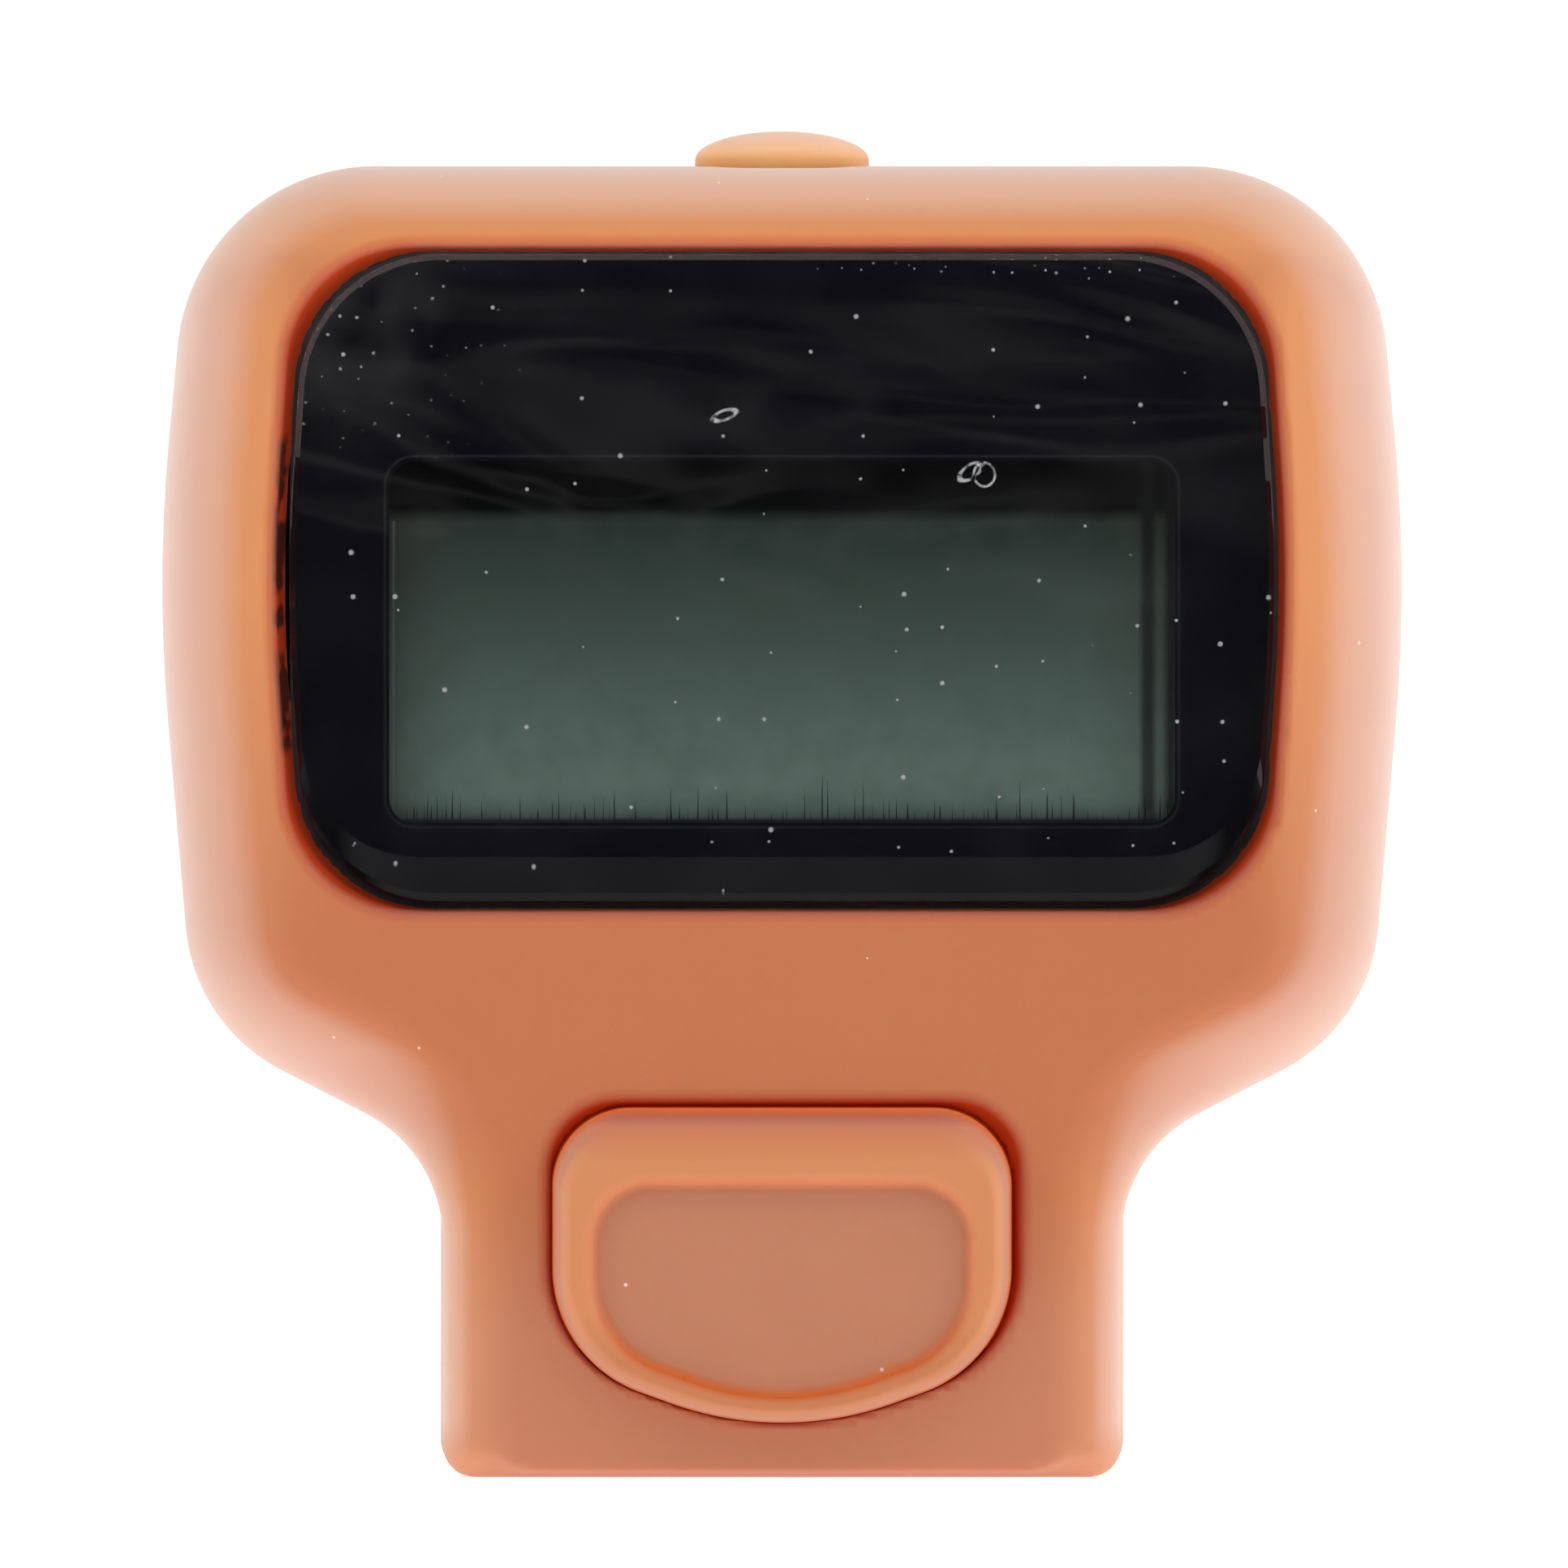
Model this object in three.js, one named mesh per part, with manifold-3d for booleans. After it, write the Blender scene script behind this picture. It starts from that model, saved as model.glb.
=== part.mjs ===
// Digital finger tally counter: a small electronic counter in a soft silicone sleeve with a finger ring.
// Millimetres, +Z up. Outlines are drawn as seen from the front.
// Depth runs back along +Y from the sleeve's face, and the whole is centred at the end.

import * as THREE from 'three';
import { mergeVertices, toCreasedNormals } from 'three/addons/utils/BufferGeometryUtils.js';
import Module from 'manifold-3d';

const wasm = await Module();
wasm.setup();

// Display window, the size that the head is built round
const VIEW_WIDTH = 22.1;
const VIEW_HEIGHT = 10.2;
const VIEW_CORNER = 0.7;

// Black-bordered lens
const LENS_SIDE_BORDER = 2.8;
const LENS_BOTTOM_BORDER = 2.3;
const LENS_BOW = 0.5;
const LENS_SWELL = 0.1;
const LENS_CORNER = 4;
const LENS_THICKNESS = 1.35;
const LENS_BEVEL = { bottom: 1.35, side: 0.45, top: 0.35 };
const LENS_BEVEL_DEPTH = 0.25;
const LENS_FIT = 0.12;
const MASK_THICKNESS = 0.15;

// Count key
const KEY_WIDTH = 13.1;
const KEY_HEIGHT = 8.9;
const KEY_BELLY_RADIUS = 12;
const KEY_BELLY_ANGLE = 20;
const KEY_LOWER_CORNER = 1.9;
const KEY_TOP_CORNER = 2.2;
const KEY_PROUD = 0.8;
const KEY_FIELD_DEPTH = 0.4;
const KEY_RIM = { bottom: 0.75, side: 1.2, top: 2.05 };
const KEY_ROUNDING = { bottom: 0.45, side: 0.85, top: 1.5 };
const KEY_SHELL = 0.9;
const KEY_FLANGE = 0.5;
const KEY_FLANGE_THICKNESS = 0.6;
const KEY_STEM_RADIUS = 1.1;
const KEY_FIT = 0.2;
const KEY_SLEEVE_GAP = 0.22;
const KEY_ABOVE_BOTTOM = 1.5;
const KEY_TO_LENS = 5.7;

// Reset nub
const NUB_WIDTH = 4.9;
const NUB_DEPTH = 2.9;
const NUB_PROUD = 1;
const NUB_FLANGE = 0.6;
const NUB_FLANGE_THICKNESS = 0.6;
const NUB_WALL_SHARE = 0.25;
const NUB_CROWN_SHARE = 0.2;
const NUB_FIT = 0.2;
const NUB_SLEEVE_GAP = 0.4;

// Hard case
const CASE_PLATE = 1.2;
const CASE_BACK_PLATE = 1;
const CASE_WALL = { bottom: 0.6, neck: 0.7, shoulder: 0.9, side: 0.9, top: 0.9 };
const CASE_SIDE_MARGIN = 1.35;
const CASE_TOP_MARGIN = 1.15;
const CASE_BEHIND_BOARD = 0.8;
const LENS_SEAT = 0.5;
const VIEW_RELIEF = 0.4;
const PRY_SLOT_LENGTH = 8.3;
const PRY_SLOT_WIDTH = 0.45;
const SEATED = 0.05;
const LAP = 0.1;
const THROUGH = 1;
const SHARP = 0.1;

// Silicone sleeve: wall round the case, soft shoulders, rounded back edge
const SLEEVE_FRONT = 1.3;
const SLEEVE_BACK = 1.05;
const SLEEVE_WALL = { bottom: 0.6, neck: 1.3, shoulder: 2.2, side: 2.1, top: 1.2 };
const SLEEVE_CLEARANCE = 0.15;
const FACE_INSET = { bottom: 0.3, neck: 1, shoulder: 2.6, side: 2.5, top: 1.6 };
const FACE_SHOULDER_DEPTH = 5;
const BACK_INSET = { bottom: 0, neck: 0.5, shoulder: 1.4, side: 1.4, top: 1.2 };
const BACK_SHOULDER_DEPTH = 3;
const WINDOW_GAP = { bottom: 0.26, side: 0.5, top: 0.26 };
const NECK_SIDE_BORDER = 3;
const HEAD_DRAW_IN = 0.88;
const SIDE_SWELL = 0.2;
const SHOULDER_OUTER_DROP = 3.4;
const SHOULDER_INNER_DROP = 7;
const BOTTOM_CORNER = 0.9;
const NECK_FILLET = 4;
const LOWER_CORNER = 5;
const SIDE_BOW_RADIUS = 45;
const TOP_CORNER = 5.6;
const BACK_LIP = { side: 1.65, top: 1.95 };
const BACK_OPENING_CORNER = 3.5;
const BACK_OPENING_LOWER_CORNER = 6;

// Finger ring
const FINGER_WIDTH = 15.5;
const FINGER_DEPTH = 13.1;
const FINGER_FRONT_CORNER = 3.5;
const RING_WALL = 2;
const RING_SIDE_WALL = 1.92;
const RING_HEIGHT = 12;
const RING_BACK_HEIGHT = 9.5;
const RING_CORNER = 8.5;
const RING_WEB = 0.4;
const RING_ROOT = 2;
const RING_ROOT_INSET = 0.4;
const RING_TAPER_CORNER = 6;

// Display sandwich
const POLARISER = 0.2;
const GLASS = 0.55;
const GLASS_SIDE_MARGIN = 1.45;
const GLASS_TOP_MARGIN = 1.2;
const GLASS_BOTTOM_MARGIN = 0.9;
const GLASS_LEDGE = 1.6;
const POLARISER_MARGIN = 0.8;
const FENCE_FIT = 0.15;
const FENCE_WALL = 0.7;
const FENCE_HEIGHT = 1.7;
const ZEBRA_HEIGHT = 2.15;
const ZEBRA_WIDTH = 1.1;
const ZEBRA_LENGTH = 21;

// Board and its parts
const BOARD = 0.8;
const BOARD_GAP = 0.25;
const FLANGE_ROOM = 0.3;
const COUNT_SWITCH = { width: 4.5, breadth: 4.5, height: 1.5, plunger: 1, collar: 0.35, proud: 0.55 };
const RESET_SWITCH = { width: 4.5, breadth: 2.2, height: 2.4, plunger: 0.5, collar: 0.2, proud: 0.75 };
const SWITCH_LID = 0.4;
const SWITCH_FLOOR = 0.2;
const SWITCH_CORNER = 0.3;
const COLLAR_HEIGHT = 0.25;
const PLUNGER_FIT = 0.12;
const RESET_TRAVEL = 0.4;
const SWITCH_CLEARANCE = 0.15;
const BLOB_RADIUS = 2.8;
const BLOB_HEIGHT = 0.9;
const BLOB_LEFT = 4;
const BLOB_BELOW_MIDDLE = 1;
const CRYSTAL_RADIUS = 0.75;
const CRYSTAL_LENGTH = 5;
const CRYSTAL_GAP = 0.3;
const CRYSTAL_NECK_SHARE = 0.8;
const CRYSTAL_BASE = 0.3;
const CRYSTAL_NOSE = 0.2;
const CHIP_CAPACITOR = { length: 2, width: 1.25, height: 0.8 };
const CHIP_RESISTOR = { length: 1.6, width: 0.8, height: 0.45 };
const CHIP_END_SHARE = 0.2;
const CHIP_END_PROUD = 0.05;
const CHIP_SPACING = 3.6;
const CHIP_ABOVE_KEY = 0.9;

// Button cell and its contacts
const CELL_RADIUS = 5.8;
const CELL_HEIGHT = 3.05;
const CELL_CAN_WALL = 0.25;
const CELL_GASKET = 0.3;
const CELL_CAP_STEP = 0.45;
const CELL_CRIMP = 0.2;
const CELL_EDGE = 0.2;
const CELL_LIP = 0.15;
const CELL_CAP_EDGE = 0.5;
const CELL_SPACE = 0.55;
const CELL_FIT = 0.25;
const CONTACT_SHEET = 0.15;
const CONTACT_WIDTH = 2.4;
const CONTACT_FOOT = 2.2;
const CONTACT_BEND = 0.35;
const CONTACT_TIP = 1.3;
const SPRING_CROWN = 0.9;
const SPRING_SLOPE = 1.3;
const SPRING_HEEL = 1.2;

// Battery door: a bayonet disc turned with a coin
const DOOR_CELL_FIT = 0.4;
const DOOR_THICKNESS = 0.95;
const DOOR_FIT = 0.15;
const DOOR_PLAY = 0.05;
const DOOR_SKIRT = 0.8;
const LUG_REACH = 0.9;
const LUG_ANGLE = 30;
const NOTCH_EXTRA_ANGLE = 4;
const LUG_THICKNESS = 0.4;
const LUG_PLAY = 0.1;
const DOOR_TURN = 45;
const COIN_SLOT_LENGTH = 9.5;
const COIN_SLOT_WIDTH = 1.3;
const COIN_SLOT_DEPTH = 0.5;
const HOLDER_WALL = 0.8;
const CONTACT_NOTCH_DEPTH = 0.4;

// Case screws
const SCREW_RADIUS = 0.7;
const SCREW_FIT = 0.12;
const SCREW_HEAD_RADIUS = 1.15;
const SCREW_HEAD_HEIGHT = 0.6;
const SCREW_HEAD_TOP_SHARE = 0.72;
const SCREW_TIP_SHARE = 0.4;
const SCREW_SINK = 0.8;
const SCREW_GRIP = 2;
const SCREW_BORE_SPARE = 0.5;
const POST_RADIUS = 1.4;
const POST_GAP = 0.45;
const TOP_SCREW_IN = 3.25;
const TOP_SCREW_DOWN = 2.2;
const LOWER_SCREW_IN = 0.95;
const CROSS_SLOT = { length: 1.5, width: 0.3, depth: 0.35 };

// Facets
const ARC_STEPS = 6;
const SHOULDER_STEPS = 6;
const ROUND_STEPS = 32;
const SMALL_STEPS = 24;
const BORE_STEPS = 16;
const CREASE = Math.PI / 6;

// Places up the front, from the underside of the neck
const keyBottom = KEY_ABOVE_BOTTOM;
const keyTop = keyBottom + KEY_HEIGHT;
const keyMiddle = (keyBottom + keyTop) / 2;
const lensBottom = keyTop + KEY_TO_LENS;
const viewBottom = lensBottom + LENS_BOTTOM_BORDER;
const viewTop = viewBottom + VIEW_HEIGHT;
const glassTop = viewTop + GLASS_TOP_MARGIN;
const rearGlassBottom = viewBottom - GLASS_BOTTOM_MARGIN;
const glassBottom = rearGlassBottom - GLASS_LEDGE;
const resetSwitchBottom = glassTop + FENCE_FIT + FENCE_WALL + SWITCH_CLEARANCE;
const resetSwitchTop = resetSwitchBottom + RESET_SWITCH.height;
const resetPlungerTop = resetSwitchTop + RESET_SWITCH.proud;
const nubFlangeBottom = resetPlungerTop + SEATED;
const nubFlangeTop = nubFlangeBottom + NUB_FLANGE_THICKNESS;
const caseTop = nubFlangeTop + SEATED + CASE_WALL.top;
const lensTop = caseTop - CASE_TOP_MARGIN;
const lensMiddle = (lensBottom + lensTop) / 2;
const headTop = caseTop + SLEEVE_CLEARANCE + SLEEVE_WALL.top;

// Places across the front, from the middle
const lensHalf = VIEW_WIDTH / 2 + LENS_SIDE_BORDER;
const glassHalf = VIEW_WIDTH / 2 + GLASS_SIDE_MARGIN;
const headHalf = lensHalf + CASE_SIDE_MARGIN + SLEEVE_CLEARANCE + SLEEVE_WALL.side;
const neckHalf = KEY_WIDTH / 2 + NECK_SIDE_BORDER;

// Places through the depth, from the sleeve's face
const caseFront = SLEEVE_FRONT;
const caseInside = caseFront + CASE_PLATE;
const lensBack = caseFront + LENS_SEAT - MASK_THICKNESS;
const lensFront = lensBack - LENS_THICKNESS;
const frontGlassFront = caseInside + POLARISER;
const rearGlassFront = frontGlassFront + GLASS;
const rearPolariserFront = rearGlassFront + GLASS;
const rearPolariserBack = rearPolariserFront + POLARISER;
const boardFront = rearGlassFront + ZEBRA_HEIGHT;
const boardBack = boardFront + BOARD;
const partLine = boardBack + CASE_BEHIND_BOARD;
const cellFront = boardBack + CELL_SPACE;
const cellBack = cellFront + CELL_HEIGHT;
const doorInside = cellBack + DOOR_PLAY;
const caseBack = doorInside + DOOR_THICKNESS;
const backPlateInside = caseBack - CASE_BACK_PLATE;
const sleeveInsideBack = caseBack + SLEEVE_CLEARANCE;
const headBack = sleeveInsideBack + SLEEVE_BACK;
const fingerFront = headBack + RING_WEB;
const fingerBack = fingerFront + FINGER_DEPTH;
const ringBack = fingerBack + RING_WALL;
const keyFieldFront = KEY_FIELD_DEPTH - KEY_PROUD;
const keySwitchFront = boardFront - COUNT_SWITCH.height;
const keyPlungerFront = keySwitchFront - COUNT_SWITCH.proud;
const nubDepth = (caseInside + partLine) / 2;
const resetSwitchDepth = boardFront - RESET_SWITCH.breadth / 2;

// The back opening, and the battery door at its middle
const openingBottom = RING_HEIGHT;
const openingTop = caseTop - BACK_LIP.top;
const cellMiddle = (openingBottom + openingTop) / 2;
const doorRadius = CELL_RADIUS + DOOR_CELL_FIT + DOOR_SKIRT;
const lugBack = backPlateInside - LUG_PLAY;
const lugFront = lugBack - LUG_THICKNESS;
const holderInner = CELL_RADIUS + CELL_FIT;
const holderChannel = doorRadius + LUG_REACH + 2 * LUG_PLAY;
const holderOuter = holderChannel + HOLDER_WALL;
const holderFront = boardBack + 2 * CONTACT_SHEET;
const holderStep = lugFront - LUG_PLAY;
const recessFront = holderStep + SEATED;

// Corners are [x, z, radius], anticlockwise from the front. The right half is drawn, the left mirrors it.
function mirrored(right) {
  const left = right.filter(([x]) => x > 0).map(([x, z, r]) => [-x, z, r]);
  return [...right, ...left.reverse()];
}

// The corners moved inwards by a wall for each side, and their radii with them.
function inset(corners, walls) {
  const count = corners.length;
  const sides = corners.map(([x, z], i) => {
    const [nextX, nextZ] = corners[(i + 1) % count];
    const length = Math.hypot(nextX - x, nextZ - z);
    const wall = Array.isArray(walls) ? walls[i] : walls;
    const along = [(nextX - x) / length, (nextZ - z) / length];
    return { along, wall, from: [x - along[1] * wall, z + along[0] * wall] };
  });
  return corners.map(([, , radius], i) => {
    const a = sides[(i + count - 1) % count];
    const b = sides[i];
    const cross = a.along[0] * b.along[1] - a.along[1] * b.along[0];
    const across = [b.from[0] - a.from[0], b.from[1] - a.from[1]];
    const t = (across[0] * b.along[1] - across[1] * b.along[0]) / cross;
    const grown = radius - (Math.sign(cross) * (a.wall + b.wall)) / 2;
    return [a.from[0] + t * a.along[0], a.from[1] + t * a.along[1], Math.max(grown, SHARP)];
  });
}

// The outline through rounded corners, as points. A radius never runs past the middle of a side.
function outline(corners, steps = ARC_STEPS) {
  const count = corners.length;
  return corners.flatMap(([x, z, radius], i) => {
    const corner = new THREE.Vector2(x, z);
    const [before, after] = [corners[(i + count - 1) % count], corners[(i + 1) % count]];
    const back = new THREE.Vector2(before[0] - x, before[1] - z);
    const ahead = new THREE.Vector2(after[0] - x, after[1] - z);
    const room = Math.min(back.length(), ahead.length()) * 0.49;
    back.normalize();
    ahead.normalize();
    const half = Math.acos(THREE.MathUtils.clamp(back.dot(ahead), -1, 1)) / 2;
    const reach = Math.min(radius / Math.tan(half), room);
    const middle = back.clone().add(ahead).normalize();
    const centre = middle.multiplyScalar(reach / Math.cos(half)).add(corner);
    const start = back.multiplyScalar(reach).add(corner).sub(centre);
    const turn = Math.sign(start.x * (corner.y - centre.y) - start.y * (corner.x - centre.x));
    const sweep = turn * (Math.PI - 2 * half);
    return Array.from({ length: steps + 1 }, (_, k) =>
      start.clone().rotateAround(new THREE.Vector2(), (sweep * k) / steps).add(centre));
  });
}

// A closed skin over outlines of equal count, each at its depth.
function loft(sections) {
  const count = sections[0].points.length;
  const last = (sections.length - 1) * count;
  const position = sections.flatMap(({ points, depth }) => points.flatMap((p) => [p.x, depth, p.y]));
  const front = THREE.ShapeUtils.triangulateShape(sections[0].points, []);
  const back = THREE.ShapeUtils.triangulateShape(sections.at(-1).points, []);
  const faces = front.flat();
  back.forEach(([a, b, c]) => faces.push(last + a, last + c, last + b));
  for (let ring = 0; ring < last; ring += count) {
    for (let i = 0; i < count; i++) {
      const [a, b] = [ring + i, ring + ((i + 1) % count)];
      faces.push(a, a + count, b + count, a, b + count, b);
    }
  }
  const geometry = new THREE.BufferGeometry();
  geometry.setAttribute('position', new THREE.Float32BufferAttribute(position, 3));
  geometry.setIndex(faces);
  return geometry;
}

function slab(corners, front, back, steps) {
  const points = outline(corners, steps);
  return loft([{ points, depth: front }, { points, depth: back }]);
}

// Corners of a rounded rectangle, and of one with round ends.
function rectangle(x0, x1, z0, z1, radius) {
  return [[x1, z0, radius], [x1, z1, radius], [x0, z1, radius], [x0, z0, radius]];
}

function box(x0, x1, front, back, z0, z1) {
  const block = new THREE.BoxGeometry(x1 - x0, back - front, z1 - z0);
  return block.translate((x0 + x1) / 2, (front + back) / 2, (z0 + z1) / 2);
}

function rod(x, z, radius, front, back, steps = ROUND_STEPS) {
  const cylinder = new THREE.CylinderGeometry(radius, radius, back - front, steps);
  return cylinder.translate(x, (front + back) / 2, z);
}

// A solid of revolution about the depth axis, from [radius, depth] points, the outside first.
function turned(profile, steps = ROUND_STEPS) {
  const points = profile.map(([radius, depth]) => new THREE.Vector2(radius, depth));
  return new THREE.LatheGeometry(points, steps);
}

function ringProfile(inner, outer, front, back) {
  return [[inner, front], [outer, front], [outer, back], [inner, back], [inner, front]];
}

function solid(geometry) {
  const bare = geometry.clone();
  bare.deleteAttribute('normal');
  bare.deleteAttribute('uv');
  const merged = mergeVertices(bare, 1e-5);
  const vertProperties = merged.attributes.position.array;
  const triVerts = Uint32Array.from(merged.index.array);
  return new wasm.Manifold(new wasm.Mesh({ numProp: 3, vertProperties, triVerts }));
}

function join(first, ...others) {
  return others.reduce((whole, piece) => whole.add(solid(piece)), solid(first));
}

function cut(whole, ...tools) {
  return tools.reduce((rest, tool) => rest.subtract(solid(tool)), whole);
}

function geometryOf(manifold) {
  const { vertProperties, triVerts } = manifold.getMesh();
  const geometry = new THREE.BufferGeometry();
  geometry.setAttribute('position', new THREE.BufferAttribute(vertProperties, 3));
  geometry.setIndex(new THREE.BufferAttribute(triVerts, 1));
  return geometry;
}

// Outlines of the whole body: a bowed head on a narrow neck
const silhouette = mirrored([
  [neckHalf, 0, BOTTOM_CORNER],
  [neckHalf, lensBottom - SHOULDER_INNER_DROP, NECK_FILLET],
  [headHalf - HEAD_DRAW_IN, lensBottom - SHOULDER_OUTER_DROP, LOWER_CORNER],
  [headHalf + SIDE_SWELL, lensMiddle, SIDE_BOW_RADIUS],
  [headHalf - HEAD_DRAW_IN, headTop, TOP_CORNER],
]);

function bodyWalls({ bottom, neck, shoulder, side, top }) {
  return [neck, shoulder, side, side, top, side, side, shoulder, neck, bottom];
}

function scaled(walls, share) {
  return Object.fromEntries(Object.entries(walls).map(([side, wall]) => [side, wall * share]));
}

function thicker(walls, extra) {
  return Object.fromEntries(Object.entries(walls).map(([side, wall]) => [side, wall + extra]));
}

const cavityCorners = inset(silhouette, bodyWalls(SLEEVE_WALL));
const caseCorners = inset(silhouette, bodyWalls(thicker(SLEEVE_WALL, SLEEVE_CLEARANCE)));
const caseInnerCorners = inset(caseCorners, bodyWalls(CASE_WALL));
const boardCorners = inset(caseInnerCorners, BOARD_GAP);

const lensCorners = mirrored([
  [lensHalf - LENS_BOW, lensBottom, LENS_CORNER],
  [lensHalf + LENS_SWELL, lensMiddle, SIDE_BOW_RADIUS],
  [lensHalf - LENS_BOW, lensTop, LENS_CORNER],
]);

// Walls for the lens's six sides, in the order of its corners
function lensWalls({ bottom, side, top }) {
  return [side, side, top, side, side, bottom];
}

const windowCorners = inset(lensCorners, lensWalls(scaled(WINDOW_GAP, -1)));

// The key's belly is an arc tangent to two lines that rise from its lowest point at the belly angle.
const bellyAngle = THREE.MathUtils.degToRad(KEY_BELLY_ANGLE);
const bellyDip = KEY_BELLY_RADIUS * (1 / Math.cos(bellyAngle) - 1);
const keyCorners = mirrored([
  [0, keyBottom - bellyDip, KEY_BELLY_RADIUS],
  [KEY_WIDTH / 2, keyBottom - bellyDip + (KEY_WIDTH / 2) * Math.tan(bellyAngle), KEY_LOWER_CORNER],
  [KEY_WIDTH / 2, keyTop, KEY_TOP_CORNER],
]);

function keyWalls({ bottom, side, top }) {
  return [bottom, side, top, side, bottom];
}

const topScrewX = lensHalf - TOP_SCREW_IN;
const topScrewZ = lensTop - TOP_SCREW_DOWN;
const lowerScrewX = neckHalf - LOWER_SCREW_IN;
const lowerScrewZ = glassBottom - FENCE_FIT - POST_RADIUS - POST_GAP;
const screwPlaces = [
  [topScrewX, topScrewZ],
  [-topScrewX, topScrewZ],
  [lowerScrewX, lowerScrewZ],
  [-lowerScrewX, lowerScrewZ],
];

// Sections of the sleeve: the flat face swells to the silhouette, then the back edge rounds in again.
function sleeveSections() {
  const sections = [];
  for (let k = 0; k <= SHOULDER_STEPS; k++) {
    const angle = (k / SHOULDER_STEPS) * (Math.PI / 2);
    const corners = inset(silhouette, bodyWalls(scaled(FACE_INSET, 1 - Math.sin(angle))));
    sections.push({ points: outline(corners), depth: FACE_SHOULDER_DEPTH * (1 - Math.cos(angle)) });
  }
  for (let k = 0; k <= SHOULDER_STEPS; k++) {
    const angle = (k / SHOULDER_STEPS) * (Math.PI / 2);
    const corners = inset(silhouette, bodyWalls(scaled(BACK_INSET, 1 - Math.cos(angle))));
    const depth = headBack - BACK_SHOULDER_DEPTH * (1 - Math.sin(angle));
    sections.push({ points: outline(corners), depth });
  }
  return sections;
}

// The ring is its plan, seen from below with the front at the top, cut to the taper of its side view
// and to the lower corners of its front view.
function ringBand() {
  const half = FINGER_WIDTH / 2 + RING_SIDE_WALL;
  const rootHalf = neckHalf - RING_ROOT_INSET;
  const root = headBack - BACK_SHOULDER_DEPTH - RING_ROOT;
  const plan = [
    [half, -ringBack, RING_CORNER],
    [half, -headBack, RING_TAPER_CORNER],
    [rootHalf, -root, SHARP],
    [-rootHalf, -root, SHARP],
    [-half, -headBack, RING_TAPER_CORNER],
    [-half, -ringBack, RING_CORNER],
  ];
  const band = slab(plan, 0, RING_HEIGHT).rotateX(Math.PI / 2);
  const profile = [
    [root - THROUGH, -THROUGH, SHARP],
    [ringBack + THROUGH, -THROUGH, SHARP],
    [ringBack + THROUGH, RING_BACK_HEIGHT, SHARP],
    [headBack, RING_HEIGHT + SEATED, RING_TAPER_CORNER],
    [root - THROUGH, RING_HEIGHT + SEATED, SHARP],
  ];
  const taper = slab(profile, -half - THROUGH, half + THROUGH).rotateZ(Math.PI / 2);
  const front = rectangle(-half, half, 0, RING_HEIGHT + THROUGH, BOTTOM_CORNER);
  const corners = slab(front, root - THROUGH, ringBack + THROUGH, ARC_STEPS / 2);
  return solid(band).intersect(solid(taper)).intersect(solid(corners));
}

function fingerHole() {
  const half = FINGER_WIDTH / 2;
  const backCorner = RING_CORNER - RING_WALL;
  const plan = [
    [half, -fingerBack, backCorner],
    [half, -fingerFront, FINGER_FRONT_CORNER],
    [-half, -fingerFront, FINGER_FRONT_CORNER],
    [-half, -fingerBack, backCorner],
  ];
  return slab(plan, -THROUGH, RING_HEIGHT + THROUGH).rotateX(Math.PI / 2);
}

function nubOutline(margin) {
  const [half, depth] = [NUB_WIDTH / 2 + margin, NUB_DEPTH / 2 + margin];
  return rectangle(-half, half, -nubDepth - depth, -nubDepth + depth, depth);
}

function backOpening() {
  const half = lensHalf + CASE_SIDE_MARGIN - BACK_LIP.side;
  const corners = mirrored([
    [half, openingBottom, BACK_OPENING_LOWER_CORNER],
    [half, openingTop, BACK_OPENING_CORNER],
  ]);
  return slab(corners, caseBack, headBack + THROUGH);
}

function siliconeSleeve() {
  const body = solid(loft(sleeveSections())).add(ringBand());
  const keyHole = inset(keyCorners, -KEY_SLEEVE_GAP);
  return cut(
    body,
    slab(cavityCorners, caseFront, sleeveInsideBack),
    slab(windowCorners, -THROUGH, caseFront + THROUGH),
    slab(keyHole, -THROUGH, caseFront + THROUGH),
    slab(nubOutline(NUB_SLEEVE_GAP), caseTop, headTop + THROUGH).rotateX(Math.PI / 2),
    backOpening(),
    fingerHole(),
  );
}

const viewCorners = rectangle(-VIEW_WIDTH / 2, VIEW_WIDTH / 2, viewBottom, viewTop, VIEW_CORNER);
const frontGlassCorners = rectangle(-glassHalf, glassHalf, glassBottom, glassTop, SHARP);
const rearGlassCorners = rectangle(-glassHalf, glassHalf, rearGlassBottom, glassTop, SHARP);
const polariserCorners = inset(viewCorners, -POLARISER_MARGIN);

// The lens is bevelled all round its front edge, and most along the bottom.
function displayLens() {
  const face = inset(lensCorners, lensWalls(LENS_BEVEL));
  return solid(loft([
    { points: outline(face), depth: lensFront },
    { points: outline(lensCorners), depth: lensFront + LENS_BEVEL_DEPTH },
    { points: outline(lensCorners), depth: lensBack },
  ]));
}

function lensMask() {
  const film = solid(slab(inset(lensCorners, LENS_FIT), lensBack, lensBack + MASK_THICKNESS));
  return cut(film, slab(viewCorners, lensBack - THROUGH, caseInside));
}

function fence() {
  const inner = inset(frontGlassCorners, -FENCE_FIT);
  const back = caseInside + FENCE_HEIGHT;
  const wall = solid(slab(inset(inner, -FENCE_WALL), caseInside - LAP, back));
  return cut(wall, slab(inner, caseInside - THROUGH, back + THROUGH));
}

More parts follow.
